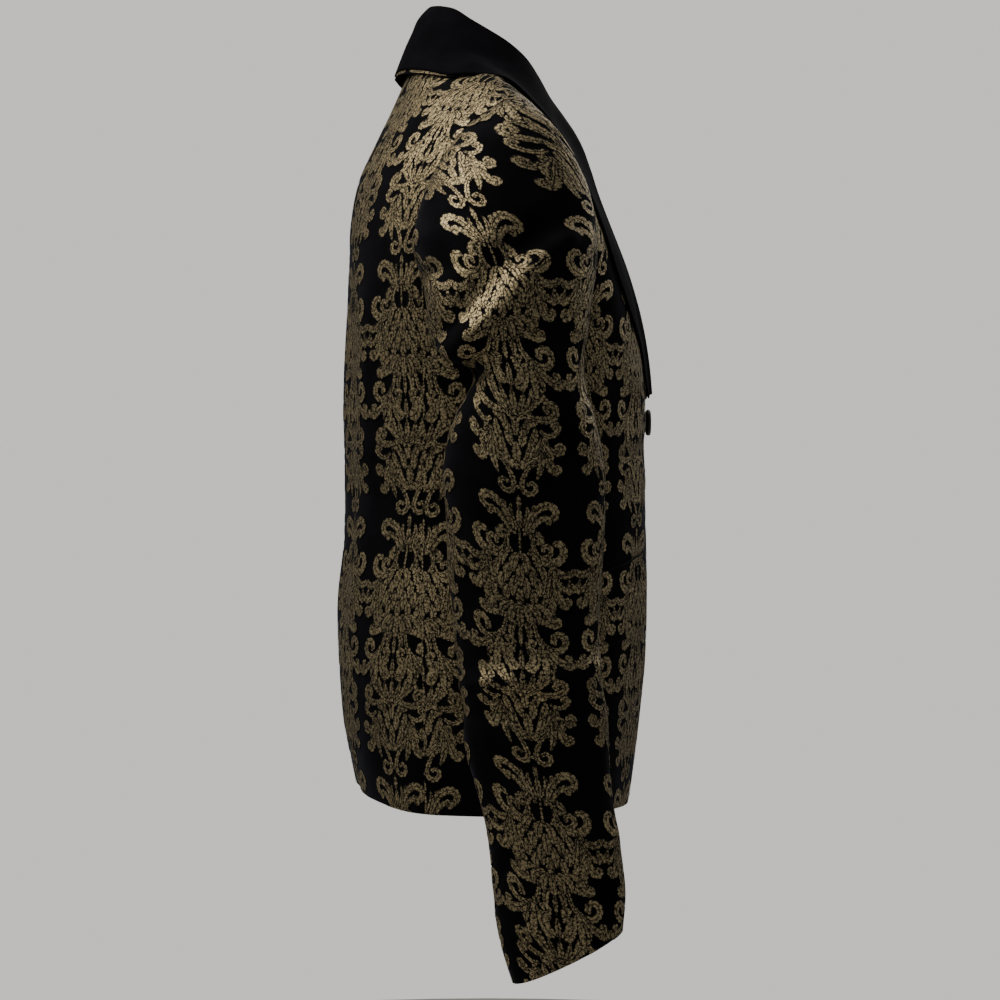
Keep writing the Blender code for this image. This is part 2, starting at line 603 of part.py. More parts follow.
def main():
    clear_scene()
    collection = bpy.data.collections.new("blazer")
    bpy.context.scene.collection.children.link(collection)
    brocade = make_material("brocade", BROCADE_COLOUR, 0.7)
    velvet = make_material("collar_velvet", VELVET_COLOUR, 0.85)
    button_finish = make_material("button", BUTTON_COLOUR, 0.4)

    back, side_panel = back_points(), side_points()
    fronts = {side: overlapped(front_points(), side) for side in SIDES}
    upper = sleeve_points(sleeve_angles(FORE_SEAM_DEG - 360, HIND_SEAM_DEG, UPPER_SLEEVE_COLUMNS))
    under = sleeve_points(sleeve_angles(HIND_SEAM_DEG, FORE_SEAM_DEG, UNDER_SLEEVE_COLUMNS))
    for side in SIDES:
        front = fronts[side]
        trees = [tree_of(back), tree_of(front)]
        collar = settled_collar(trees)
        cloth_object(f"back_{side}", back, side, from_torso(back), CLOTH, brocade, collection)
        cloth_object(f"side_{side}", side_panel, side, from_torso(side_panel), CLOTH, brocade, collection)
        cloth_object(f"front_{side}", front, side, from_torso(front), CLOTH, brocade, collection)
        for name, points in (("upper_sleeve", upper), ("under_sleeve", under)):
            outward = (points - ARM_AXIS) * (1, 1, 0)
            cloth_object(f"{name}_{side}", points, side, outward, CLOTH, brocade, collection)
        away = from_torso(collar)
        cloth_object(f"shawl_collar_{side}", collar, side, away, COLLAR_CLOTH, velvet, collection)
        lower = under_collar_points(collar)
        away = from_torso(lower)
        cloth_object(f"under_collar_{side}", lower, side, away, UNDER_COLLAR_CLOTH, brocade, collection)
        flap = pocket_patch(side, 0, FLAP_DROP, FLAP_ROWS)
        cloth_object(f"pocket_flap_{side}", flap, side, from_torso(flap), FLAP_CLOTH, brocade, collection)
        welt = pocket_patch(side, -WELT_HEIGHT - SEAM_GAP, -SEAM_GAP, WELT_ROWS)
        cloth_object(f"pocket_welt_{side}", welt, side, from_torso(welt), FLAP_CLOTH, brocade, collection)
    make_button(button_finish, fronts["right"] * (-1, 1, 1), collection)


main()
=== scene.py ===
"""The looks of a single-breasted blazer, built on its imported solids.

Black velvet with a gold damask woven into it, a plain velvet shawl collar, flapped pockets and one button,
hollow, in the shape it has when worn. Cloth tables are in millimetres, for the left half as worn (+X), and
the right half is mirrored. The front faces -Y and +Z is up, as in the solids.
"""

import math

import bpy
import numpy as np
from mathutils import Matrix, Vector
from mathutils.bvhtree import BVHTree


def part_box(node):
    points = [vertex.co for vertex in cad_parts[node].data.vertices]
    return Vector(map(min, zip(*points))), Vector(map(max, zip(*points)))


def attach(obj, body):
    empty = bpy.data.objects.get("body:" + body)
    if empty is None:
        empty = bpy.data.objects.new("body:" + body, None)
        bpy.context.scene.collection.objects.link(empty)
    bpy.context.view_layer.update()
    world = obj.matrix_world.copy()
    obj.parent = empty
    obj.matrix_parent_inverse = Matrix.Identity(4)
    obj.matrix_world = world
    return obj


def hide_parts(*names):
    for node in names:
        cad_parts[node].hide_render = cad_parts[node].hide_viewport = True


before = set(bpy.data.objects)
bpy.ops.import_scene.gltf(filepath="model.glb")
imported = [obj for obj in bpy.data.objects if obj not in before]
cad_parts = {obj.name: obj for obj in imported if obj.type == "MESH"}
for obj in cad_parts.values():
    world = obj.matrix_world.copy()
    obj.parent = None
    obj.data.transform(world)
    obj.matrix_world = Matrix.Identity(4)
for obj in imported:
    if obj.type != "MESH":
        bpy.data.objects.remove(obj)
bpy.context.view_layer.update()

# Body cloth
# Six panels of velvet, cut on the straight grain: two backs with a centre back seam, two side panels and two
# fronts. They are sewn edge to edge, drawn in at the waist and rolled over the shoulder seam.
MM = 0.001
SIDES = {"left": 1.0, "right": -1.0}
CLOTH = 1.8
SEAM_LAP = 0.3
SEAM_DIP = 0.7
SEAM_DIP_REACH = 3.2
SEAM_HOLD = 14.0
SEAM_STEPS, EVEN_FROM, ALL_SEAMS = np.array([0, 0.8, 1.8]), 3.2, ("first", "last", "top")
# Distances down the cloth, from the shoulder seam, of the seam itself and of each section below it
LEVELS = np.array([0, 25, 60, 95, 130, 163, 195, 222, 258, 302, 351, 401, 447, 498, 554, 612], float)
UNDERARM_ROW = 6
NAPE = np.array([0.0, 57.0, 18.0])
NECK_ROUND = np.array([52.0, 36.0, 16.0])
NECK_POINT = np.array([74.0, 10.0, 9.0])
SHOULDER_TIP = np.array([190.0, -24.0, -47.0])
SHOULDER_ARCH = 4.0
NECK_SHARE = 0.40
NECK_BLEND = 0.12
BACK_WIDTH, SIDE_WIDTH, FRONT_WIDTH = 200.0, 98.0, 190.0
BACK_COLUMNS, SIDE_COLUMNS, FRONT_COLUMNS, BODY_ROWS = 52, 25, 50, 156
# Back: centre y z | first x y z | second x y z | armhole or seam edge x y z
BACK_SECTIONS = np.array([
    (63, -4, 62, 50, -4, 122, 20, -20, 188, -5, -57),
    (75, -32, 63, 64, -31, 124, 43, -42, 184, 12, -71),
    (88, -60, 63, 80, -61, 124, 62, -73, 179, 28, -93),
    (101.5, -92, 63, 95, -93, 123, 77, -105, 175, 40, -118),
    (107, -125, 62, 102.5, -126, 121, 86, -138, 173, 46, -146),
    (108, -160, 62, 104.5, -160, 119, 90, -168, 172, 43, -178),
    (110, -200, 61, 106, -200, 118, 91.5, -202, 170.5, 42, -205),
    (112, -240, 60, 108, -240, 115, 92.5, -241, 167, 42, -242),
    (113, -285, 58.5, 109, -285, 113, 93, -285, 163, 42, -286),
    (112.5, -335, 57.5, 108.5, -335, 111.5, 93, -335, 160.5, 42, -335),
    (113, -385, 58, 109, -385, 113, 93.5, -385, 163, 42.5, -386),
    (117.5, -430, 61, 113, -430, 118, 96, -431, 170, 43, -432),
    (117, -480, 63, 112, -480, 122, 96, -481, 176, 42, -483),
    (112.5, -535, 64, 108, -535, 125, 92, -535, 181, 41, -535),
    (103, -588, 64, 97, -583, 126, 84, -583, 183, 40, -586),
], float)
# Side panel, from the underarm down: rear x y z | fore x y z
SIDE_SECTIONS = np.array([
    (177, 14, -204, 177, -24, -210),
    (178, 14, -222, 178, -22, -224),
    (175, 14, -248, 175, -20, -250),
    (171, 14, -288, 172, -19, -289),
    (168, 14, -336, 169, -18, -336),
    (171, 14, -387, 171, -18, -387),
    (178, 14, -433, 178, -18, -433),
    (184, 14, -484, 185, -18, -484),
    (189, 13, -535, 191, -18, -535),
    (191, 12, -586, 194, -18, -586),
], float)
# Front: armhole or seam edge x y z | first x y z | second x y z | front edge x y z
FRONT_SECTIONS = np.array([
    (187, -45, -55, 150, -36, -40, 114, -26, -22, 74, -14, 0),
    (182, -60, -73, 148, -58, -64, 110, -52, -46, 70, -40, -22),
    (176, -70, -98, 144, -74, -92, 104, -74, -76, 62, -66, -52),
    (170, -75, -124, 140, -86, -120, 100, -88, -108, 53, -82, -84),
    (167, -77, -150, 137, -95, -148, 96, -102, -138, 42, -97, -118),
    (170, -62, -188, 139, -100, -184, 93, -114, -172, 33, -111, -150),
    (171, -52, -208, 141, -100, -210, 92, -121, -202, 24, -122, -183),
    (168, -49, -243, 140, -99, -243, 91, -125, -238, 13, -133, -222),
    (165, -48, -286, 138, -96, -286, 90, -125, -282, 1, -136, -262),
    (162, -48, -335, 136, -95, -335, 86, -126, -333, -18, -135.5, -315),
    (164, -48, -386, 138, -95, -386, 87, -127, -386, -18, -137, -378),
    (171, -48, -432, 144, -97, -432, 90, -128, -432, -18, -137.5, -428),
    (178, -48, -483, 149, -97, -483, 92, -127, -483, -18, -136, -481),
    (184, -48, -535, 154, -95, -536, 94, -122, -538, -18, -131, -540),
    (187, -48, -586, 157, -91, -588, 95, -115, -594, -17, -123, -602),
], float)
# Folds and creases, seen from behind, from the side or from in front: start, end, half width, rise
BACK_FOLDS = np.array([
    (92, -215, 84, -450, 16, -3.0),
    (128, -180, 120, -330, 13, 2.5),
    (150, -300, 96, -322, 9, 1.6),
    (140, -352, 70, -338, 8, -1.4),
    (30, -300, 26, -420, 12, -1.2),
    (150, -470, 132, -560, 12, 1.6),
    (60, -60, 110, -120, 12, -1.2),
], float)
SIDE_FOLDS = np.array([
    (30, -250, -20, -275, 8, 1.4),
    (36, -318, -30, -330, 7, -1.5),
    (30, -372, -34, -352, 8, 1.6),
    (10, -420, 4, -540, 12, -1.4),
], float)
FRONT_FOLDS = np.array([
    (20, -292, 104, -250, 9, 1.4),
    (24, -306, 118, -318, 8, -1.4),
    (40, -330, 120, -372, 10, 1.5),
    (150, -215, 112, -280, 11, -1.6),
    (60, -470, 54, -570, 13, -1.3),
], float)
FOLD_FADE = 22.0
EDGE_DRAWN_IN, EDGE_DRAWN_ABOVE, EDGE_DRAWN_OVER = 5.0, -288.0, 30.0
OVERLAP_HALF, HEM_SLOPE, HEM_LEVEL_BELOW, HEM_LEVEL_OVER = 18.0, 0.072, -540.0, 60.0
LAP_STEP, LAP_REACH, LAP_BELOW, LAP_OVER = 2.5, 60.0, -200.0, 50.0


def smooth(knots, values, at):
    """A smooth curve through the values at their knots, read at other knots."""
    knots, values = np.asarray(knots, float), np.asarray(values, float)
    at = np.clip(np.asarray(at, float), knots[0], knots[-1])
    wide = (-1, *[1] * (values.ndim - 1))
    step = np.diff(knots)
    slope = np.diff(values, axis=0) / step.reshape(wide)
    before, after = step[:-1].reshape(wide), step[1:].reshape(wide)
    tangent = np.empty_like(values)
    tangent[0], tangent[-1] = slope[0], slope[-1]
    tangent[1:-1] = (slope[:-1] * after + slope[1:] * before) / (before + after)
    k = np.clip(np.searchsorted(knots, at, side="right") - 1, 0, len(step) - 1)
    u, reach = ((at - knots[k]) / step[k]).reshape(wide), step[k].reshape(wide)
    return (values[k] * (1 + 2 * u) * (1 - u) ** 2 + values[k + 1] * u * u * (3 - 2 * u)
            + tangent[k] * reach * u * (1 - u) ** 2 + tangent[k + 1] * reach * u * u * (u - 1))


def along(points, first, last, shares):
    """A smooth curve through points, read at shares of the way from one of them to another."""
    points = np.asarray(points, float)
    knots = np.concatenate([[0], np.cumsum(np.linalg.norm(np.diff(points, axis=0), axis=1))])
    return smooth(knots, points, knots[first] + (knots[last] - knots[first]) * np.asarray(shares))


def seam_shares(count, width):
    """Shares from seam to seam, run on by half the lap and closer together next to the seams."""
    inset = -SEAM_LAP / 2 / width
    near = SEAM_STEPS / width
    even = np.linspace(inset + EVEN_FROM / width, 1 - inset - EVEN_FROM / width, count - 2 * len(near))
    return np.concatenate([inset + near, even, 1 - inset - near[::-1]])


def mirrored(point):
    return np.asarray(point, float) * (-1, 1, 1)


def shoulder_seam(shares):
    shares = np.asarray(shares, float)[:, None]
    arch = SHOULDER_ARCH * 4 * shares * (1 - shares) * np.array([0, 0, 1.0])
    return NECK_POINT + (SHOULDER_TIP - NECK_POINT) * shares + arch


def back_row(row, shares):
    if row == 0:
        neck = along([mirrored(NECK_ROUND), NAPE, NECK_ROUND, NECK_POINT], 1, 3,
                     np.clip(shares / NECK_SHARE, 0, 1))
        seam = shoulder_seam(np.clip((shares - NECK_SHARE) / (1 - NECK_SHARE), 0, 1))
        return np.where((shares < NECK_SHARE)[:, None], neck, seam)
    section = BACK_SECTIONS[row - 1]
    first, second, edge = section[2:].reshape(3, 3)
    ring = [mirrored(first), np.array([0, *section[:2]]), first, second, edge]
    if row >= UNDERARM_ROW:
        ring.append(SIDE_SECTIONS[row - UNDERARM_ROW][:3])
    return along(ring, 1, 4, shares)


def front_row(row, shares):
    if row == 0:
        return shoulder_seam(1 - np.asarray(shares))
    points = list(FRONT_SECTIONS[row - 1].reshape(4, 3))
    if row >= UNDERARM_ROW:
        points.insert(0, SIDE_SECTIONS[row - UNDERARM_ROW][3:])
    return along(points, len(points) - 4, len(points) - 1, shares)


def side_row(row, shares):
    back, front = BACK_SECTIONS[row - 1], FRONT_SECTIONS[row - 1]
    rear, fore = SIDE_SECTIONS[row - UNDERARM_ROW].reshape(2, 3)
    return along([back[5:8], back[8:11], rear, fore, front[0:3], front[3:6]], 1, 4, shares)


def over_seam(row_curve, shares):
    """The first section beyond the shoulder seam, so that front and back meet there in one round."""
    if row_curve is front_row:
        return back_row(1, NECK_SHARE + (1 - np.asarray(shares)) * (1 - NECK_SHARE))
    across = front_row(1, np.clip(1 - (shares - NECK_SHARE) / (1 - NECK_SHARE), 0, 1))
    onward = 2 * back_row(0, shares) - back_row(1, shares)
    blend = np.clip((shares - NECK_SHARE) / NECK_BLEND, 0, 1)[:, None]
    return onward + (across - onward) * blend


def loft(row_curve, first_row, shares, distances):
    """Sections from a table, joined smoothly down the cloth. Gives rows of points, top to hem."""
    rows = [row_curve(row, shares) for row in range(first_row, len(LEVELS))]
    knots = LEVELS[first_row:]
    if first_row == 0:
        rows.insert(0, over_seam(row_curve, shares))
        knots = np.concatenate([[-LEVELS[1]], knots])
    return smooth(knots, np.array(rows), distances)


def ridge(across, start, end, half_width, rise):
    """How far a fold lifts each point of a plane, fading out at both ends of its line."""
    start, end = np.asarray(start, float), np.asarray(end, float)
    length = np.linalg.norm(end - start)
    direction = (end - start) / length
    away = across - start
    reach = away @ direction
    beside = np.abs(away[..., 0] * direction[1] - away[..., 1] * direction[0])
    fade = (np.clip((reach + FOLD_FADE) / (2 * FOLD_FADE), 0, 1)
            * np.clip((length + FOLD_FADE - reach) / (2 * FOLD_FADE), 0, 1))
    return rise * np.exp(-((beside / half_width) ** 2)) * fade * fade * (3 - 2 * fade)


def normals_of(points, outward):
    """Unit normals of a grid of points, turned to the side where outward is positive."""
    normal = np.cross(np.gradient(points, axis=1), np.gradient(points, axis=0))
    normal /= np.linalg.norm(normal, axis=2, keepdims=True)
    return normal * (1 if (normal * outward).sum() > 0 else -1)


def from_torso(points):
    return (points - np.array([0, -15.0, 0])) * (1, 1, 0)


def run_across(points):
    """Distance along each row of a grid, and down each of its columns."""
    across = np.linalg.norm(np.diff(points, axis=1), axis=2)
    down = np.linalg.norm(np.diff(points, axis=0), axis=2)
    return (np.concatenate([np.zeros((len(points), 1)), np.cumsum(across, axis=1)], axis=1),
            np.concatenate([np.zeros((1, points.shape[1])), np.cumsum(down, axis=0)], axis=0))


def eased(share):
    share = np.clip(share, 0, 1)
    return share * share * (3 - 2 * share)


def lift_of(across, folds):
    """How far a table of folds lifts each point of a plane."""
    return sum(ridge(across, fold[0:2], fold[2:4], fold[4], fold[5]) for fold in folds)


def folded(points, plane, folds):
    """A panel with its folds, which die out where the seams hold the cloth."""
    lift = lift_of(points[..., plane], folds)
    across, down = run_across(points)
    lift = lift * eased(np.minimum(np.minimum(across, across[:, -1:] - across), down) / SEAM_HOLD)
    return points + normals_of(points, from_torso(points)) * lift[..., None]


def seam_dipped(points, outward, seams):
    """Sinks the cloth a little beside its seams, where the turnings are pressed open behind it."""
    across, down = run_across(points)
    room = {"first": across, "last": across[:, -1:] - across, "top": down}
    dip = sum(np.exp(-((room[seam] / SEAM_DIP_REACH) ** 2)) for seam in seams)
    return points - normals_of(points, outward) * (SEAM_DIP * np.minimum(dip, 1.0))[..., None]


def front_edged(points):
    """The front's edge stops short of the collar's roll, and its hem is level at the overlap."""
    across, _ = run_across(points)
    draw = EDGE_DRAWN_IN * eased((points[:, -1, 2] - EDGE_DRAWN_ABOVE) / EDGE_DRAWN_OVER)
    drawn = np.empty_like(points)
    for row, (run, cut) in enumerate(zip(across, draw)):
        for k in range(3):
            drawn[row, :, k] = np.interp(run * (1 - cut / run[-1]), run, points[row, :, k])
    near_hem = np.clip((HEM_LEVEL_BELOW - drawn[..., 2]) / HEM_LEVEL_OVER, 0, 1)
    drawn[..., 2] += HEM_SLOPE * np.maximum(OVERLAP_HALF - drawn[..., 0], 0) * near_hem
    return drawn


def overlapped(points, side):
    """The right front laps over the left, so their edges step apart towards the centre."""
    share = (np.clip((LAP_REACH - points[..., 0]) / LAP_REACH, 0, 1)
             * np.clip((LAP_BELOW - points[..., 2]) / LAP_OVER, 0, 1))
    step = LAP_STEP * eased(share) * SIDES[side]
    return points + step[..., None] * np.array([0, 1.0, 0])


def grid_quads(rows, columns):
    """The faces of a grid of points, by the numbers of their four corners."""
    index = np.arange(rows * columns).reshape(rows, columns)
    return np.stack([index[:-1, :-1], index[:-1, 1:], index[1:, 1:], index[1:, :-1]], axis=2).reshape(-1, 4)


def cloth_shell(name, points, side, outward, thickness, materials):
    """A sheet of cloth from a grid of points in millimetres, with its wall behind the outer face."""
    quads = grid_quads(*points.shape[:2])
    flip = np.array([SIDES[side], 1, 1])
    facing = np.cross(points[1, 1] - points[0, 0], points[1, 0] - points[0, 1])
    turned = (normals_of(points, outward)[0, 0] @ facing < 0) != (SIDES[side] < 0)
    mesh = bpy.data.meshes.new(name)
    mesh.from_pydata((points.reshape(-1, 3) * flip * MM).tolist(), [],
                     (quads[:, ::-1] if turned else quads).tolist())
    mesh.shade_smooth()
    for material in materials:
        mesh.materials.append(material)
    piece = bpy.data.objects.new(name, mesh)
    bpy.context.scene.collection.objects.link(piece)
    wall = piece.modifiers.new("wall", "SOLIDIFY")
    wall.thickness, wall.offset, wall.use_even_offset = thickness * MM, -1.0, True
    wall.material_offset = len(materials) - 1
    return piece


def node(tree, kind, **settings):
    """A node with its inputs set by socket name, or by i and a number; a socket given as value is linked."""
    made = tree.nodes.new(kind)
    for key, value in settings.items():
        if hasattr(made, key) and key not in made.inputs:
            setattr(made, key, value)
            continue
        numbered = key[0] == "i" and key[1:].isdigit()
        socket = made.inputs[int(key[1:]) if numbered else key.replace("_", " ")]
        if isinstance(value, bpy.types.NodeSocket):
            tree.links.new(value, socket)
        else:
            socket.default_value = value
    return made


def finish(name, **settings):
    """A material with a Principled shader whose constants are set on its own sockets."""
    material = bpy.data.materials.new(name)
    material.use_nodes = True
    shader = material.node_tree.nodes["Principled BSDF"]
    for key, value in settings.items():
        shader.inputs[key.replace("_", " ")].default_value = value
    return material, material.node_tree, shader


def two_tones(tree, share, low, high):
    """A colour between two others, mixed by a share that the nodes give."""
    mix = node(tree, "ShaderNodeMix", data_type="RGBA", Factor=share, i6=(*low, 1.0), i7=(*high, 1.0))
    return mix.outputs[2]


def velvet(name, low, high, sheen, tint, nap_size):
    """Cut pile: near black face on, paler where it is brushed, with a cool sheen along its edges."""
    material, tree, shader = finish(name, Roughness=0.9, Sheen_Weight=sheen, Sheen_Roughness=0.32,
                                    Sheen_Tint=(*tint, 1.0), Specular_IOR_Level=0.05)
    place = node(tree, "ShaderNodeTexCoord").outputs["Object"]
    nap = node(tree, "ShaderNodeTexNoise", Vector=place, Scale=nap_size, Detail=3.0, Roughness=0.55)
    pile = node(tree, "ShaderNodeTexNoise", Vector=place, Scale=1700.0, Detail=2.0, Roughness=0.6)
    both = node(tree, "ShaderNodeMath", operation="MULTIPLY", i0=nap.outputs["Fac"], i1=pile.outputs["Fac"])
    ramp = node(tree, "ShaderNodeMapRange", Value=both.outputs[0], From_Min=0.12, From_Max=0.42)
    tree.links.new(two_tones(tree, ramp.outputs[0], low, high), shader.inputs["Base Color"])
    bump = node(tree, "ShaderNodeBump", Strength=0.25, Distance=0.0004, Height=pile.outputs["Fac"])
    tree.links.new(bump.outputs[0], shader.inputs["Normal"])
    return material


COOL_SHEEN = (0.55, 0.62, 0.80)
ground_velvet = velvet("ground_velvet", (0.0042, 0.0038, 0.0052), (0.0141, 0.0131, 0.0172), sheen=0.14,
                       tint=COOL_SHEEN, nap_size=26.0)
cloth_back, back_tree, back_shader = finish("cloth_back", Roughness=0.82, Specular_IOR_Level=0.2)
threads = node(back_tree, "ShaderNodeTexNoise", Scale=900.0, Detail=2.0,
               Vector=node(back_tree, "ShaderNodeTexCoord").outputs["Object"])
back_tone = two_tones(back_tree, threads.outputs["Fac"], (0.017, 0.016, 0.016), (0.048, 0.045, 0.041))
back_tree.links.new(back_tone, back_shader.inputs["Base Color"])

# The damask: one repeat of gold leaves and scrolls on its upright axis, right half, x outwards and y down.
# columns: start x y | via x y | end x y | curl radius, curl turn | width at start, middle, end | rib
REPEAT_WIDTH, REPEAT_HEIGHT = 80.0, 200.0
STROKES = np.array([
    (4, 0, 8, -7, 8.5, -13.5, 0, 0, 3.0, 6.6, 1.2, 1),
    (0, 0, 0, -7, 0, -14, 0, 0, 3.0, 6.6, 1.0, 1),
    (8, 8, 13, 1, 14, -7, 0, 0, 3.0, 6.8, 1.4, 1),
    (2.5, 8, 5, 1, 4.5, -7, 0, 0, 3.0, 7.2, 1.2, 1),
    (20.5, -3, 17.5, 14, 0, 21, 0, 0, 3.6, 7.0, 6.6, 0),
    (12, 14, 16.5, 7, 18, -1, 0, 0, 2.6, 6.2, 1.2, 1),
    (5, 18, 10, 10.5, 9.5, 2, 0, 0, 3.0, 7.2, 1.2, 1),
    (0, 20, 0, 12, 0, 3, 0, 0, 3.0, 7.6, 1.2, 1),
    (1, -9, 6.5, -14, 13, -12, 2.6, 235, 2.6, 5.6, 4.2, 1),
    (0, -13, 0, -21, 0, -31, 0, 0, 2.8, 6.0, 1.4, 1),
    (1, -13, 5.5, -20, 8, -29.5, 0, 0, 2.6, 5.8, 1.8, 1),
    (3, -13, 10.5, -20, 14, -27.5, 4.6, 255, 3.4, 6.2, 4.8, 1),
    (9, -15, 16, -22.5, 21, -26, 2.6, 230, 2.4, 4.8, 3.6, 0),
    (11, -13, 20, -11.5, 27, -13, 5.6, -300, 4.0, 7.0, 5.2, 1),
    (17, -5, 24, -1, 30.5, -5, 3.0, -270, 2.6, 5.2, 4.2, 1),
    (19, 2, 25, 9.5, 30.5, 11.5, 3.6, -310, 2.6, 5.6, 4.4, 1),
    (20, 5, 24.5, 12, 24.5, 19.5, 0, 0, 2.4, 4.8, 0.8, 0),
    (18.5, 6, 21.5, 15, 25, 23, 3.0, -220, 3.0, 7.4, 5.8, 1),
    (17, 9, 17, 20, 13, 31.5, 0, 0, 2.6, 6.2, 0.8, 1),
    (14.5, 17, 7, 24, 2.8, 34, 6.2, -350, 2.6, 5.0, 3.8, 1),
    (0, 53, 0, 48, 0, 42, 0, 0, 1.6, 4.8, 0.8, 0),
    (0, 66, 0, 58, 0, 50, 0, 0, 2.6, 5.4, 1.0, 1),
    (1, 67, 6, 58, 5, 49, 0, 0, 2.6, 5.4, 1.2, 1),
    (2, 68, 9.5, 60, 10.5, 52, 1.8, 190, 2.6, 5.2, 3.2, 1),
    (5, 70, 9.5, 56, 18.5, 49, 6.8, 245, 3.8, 6.8, 5.6, 1),
    (7, 70, 12.5, 61.5, 19, 57.5, 2.6, 245, 2.8, 5.0, 4.4, 1),
    (6, 67, 11.5, 68.5, 15.5, 73, 2.4, 250, 2.6, 5.2, 4.0, 0),
    (0, 66, 0, 76, 0, 87, 0, 0, 2.6, 2.6, 2.8, 0),
    (5.5, 68, 9, 76, 6, 84, 0, 0, 3.0, 3.6, 3.0, 0),
    (11.5, 66, 10.5, 83, 22, 90, 10.0, -215, 0.7, 7.4, 5.4, 1),
    (10, 76, 13, 85.5, 20, 85.5, 4.8, -275, 2.2, 5.0, 4.2, 1),
    (22, 91, 31, 99, 40, 96.5, 0, 0, 2.4, 6.4, 5.4, 1),
    (22, 91, 20.5, 103, 14, 112, 2.4, 200, 2.4, 6.0, 4.4, 1),
    (23, 92, 21.5, 107, 16.5, 121, 2.4, 180, 2.4, 5.8, 4.4, 1),
    (24, 92, 24.5, 110, 22, 127, 2.8, 160, 2.4, 7.2, 5.4, 1),
    (24.5, 94, 26.5, 110, 31, 120, 3.2, -235, 2.4, 7.4, 5.8, 1),
    (24, 95, 28.5, 106, 35, 110, 3.0, -215, 2.2, 5.8, 4.6, 1),
    (30, 106, 35, 111, 40, 108.5, 0, 0, 2.6, 5.4, 5.0, 0),
    (7, 109, 10, 116, 9.5, 124, 0, 0, 3.0, 6.6, 1.2, 1),
    (0, 109, 0, 117, 0, 125, 0, 0, 3.0, 6.8, 1.2, 1),
    (10, 100, 13.5, 107, 13, 115, 0, 0, 3.0, 6.6, 1.2, 1),
    (3, 101, 5, 109, 4.5, 117, 0, 0, 3.0, 7.0, 1.2, 1),
    (12, 92, 17, 98, 16.5, 106, 0, 0, 2.6, 6.2, 1.2, 1),
    (6, 92, 9.5, 100, 9, 108, 0, 0, 3.0, 7.2, 1.2, 1),
    (0, 92, 0, 100.5, 0, 109, 0, 0, 3.0, 7.4, 1.2, 1),
    (7.5, 83, 12.5, 90, 13, 98, 0, 0, 2.6, 6.4, 1.2, 1),
    (1.5, 84, 5, 92, 4.5, 100, 0, 0, 3.0, 7.4, 1.2, 1),
    (9, 120, 17, 123, 22, 130, 2.4, -180, 2.4, 6.0, 4.2, 1),
    (8, 130, 17, 132.5, 25, 135, 2.8, -245, 2.4, 6.0, 4.6, 1),
    (4, 120, 12, 126, 13, 135, 0, 0, 2.6, 6.0, 1.4, 1),
    (10, 131, 13.5, 146, 23.5, 153.5, 7.6, -320, 2.8, 5.8, 6.0, 1),
    (2, 133, 6.5, 140, 5, 149, 0, 0, 2.4, 5.6, 1.4, 1),
    (1.5, 121, 6.5, 129, 6, 138, 0, 0, 2.6, 6.4, 1.2, 1),
    (0, 137, 0, 143, 0, 151, 0, 0, 2.2, 4.6, 1.4, 0),
    (0, 121, 0, 130, 0, 140, 0, 0, 2.6, 6.4, 1.2, 1),
    (15, 144, 13, 153, 6.5, 152.5, 3.8, 285, 2.4, 4.6, 4.2, 0),
    (15, 149, 12, 159, 9, 167, 2.6, 235, 2.6, 6.0, 4.8, 1),
    (17, 149, 21.5, 159, 23.5, 169, 0, 0, 2.6, 6.0, 2.2, 1),
    (16, 149, 17, 161, 17.5, 172, 1.6, 120, 2.6, 6.2, 4.0, 1),
    (18, 149, 24.5, 159, 31.5, 163.5, 3.6, -225, 2.8, 6.4, 4.8, 1),
    (28, 163, 34.5, 167, 40, 163, 0, 0, 2.4, 5.4, 5.2, 0),
    (0.6, 167, 7.5, 162, 7.5, 155, 1.8, -170, 3.0, 6.4, 3.6, 1),
    (0, 169, 0, 161, 0, 153, 0, 0, 2.0, 5.4, 1.4, 1),
], float)
# columns: centre x y, radius
BERRIES = np.array([
    (0, -15, 2.4), (0, 36.5, 2.0), (3.6, 70, 1.9), (17.8, 114, 2.1), (0, 119.5, 2.4), (36, 103.5, 1.8),
], float)
STROKE_STEP, CURL_STEP, FEWEST_STEPS = 2.6, 1.5, 6
CURL_LENGTH, CURL_CLOSES, SMALL_CURL = 0.66, 0.66, 3.0
THREAD_WIDTH, TIP_REACH, TIP_SHARE, NO_RIB = 0.5, 0.8, 0.35, 50.0
BERRY_TURNS, TONE_STEP, SCALLOP = 11, 0.61803, 3.2
GOLD_LIFT, LAYER_LIFT = 0.30, 0.006


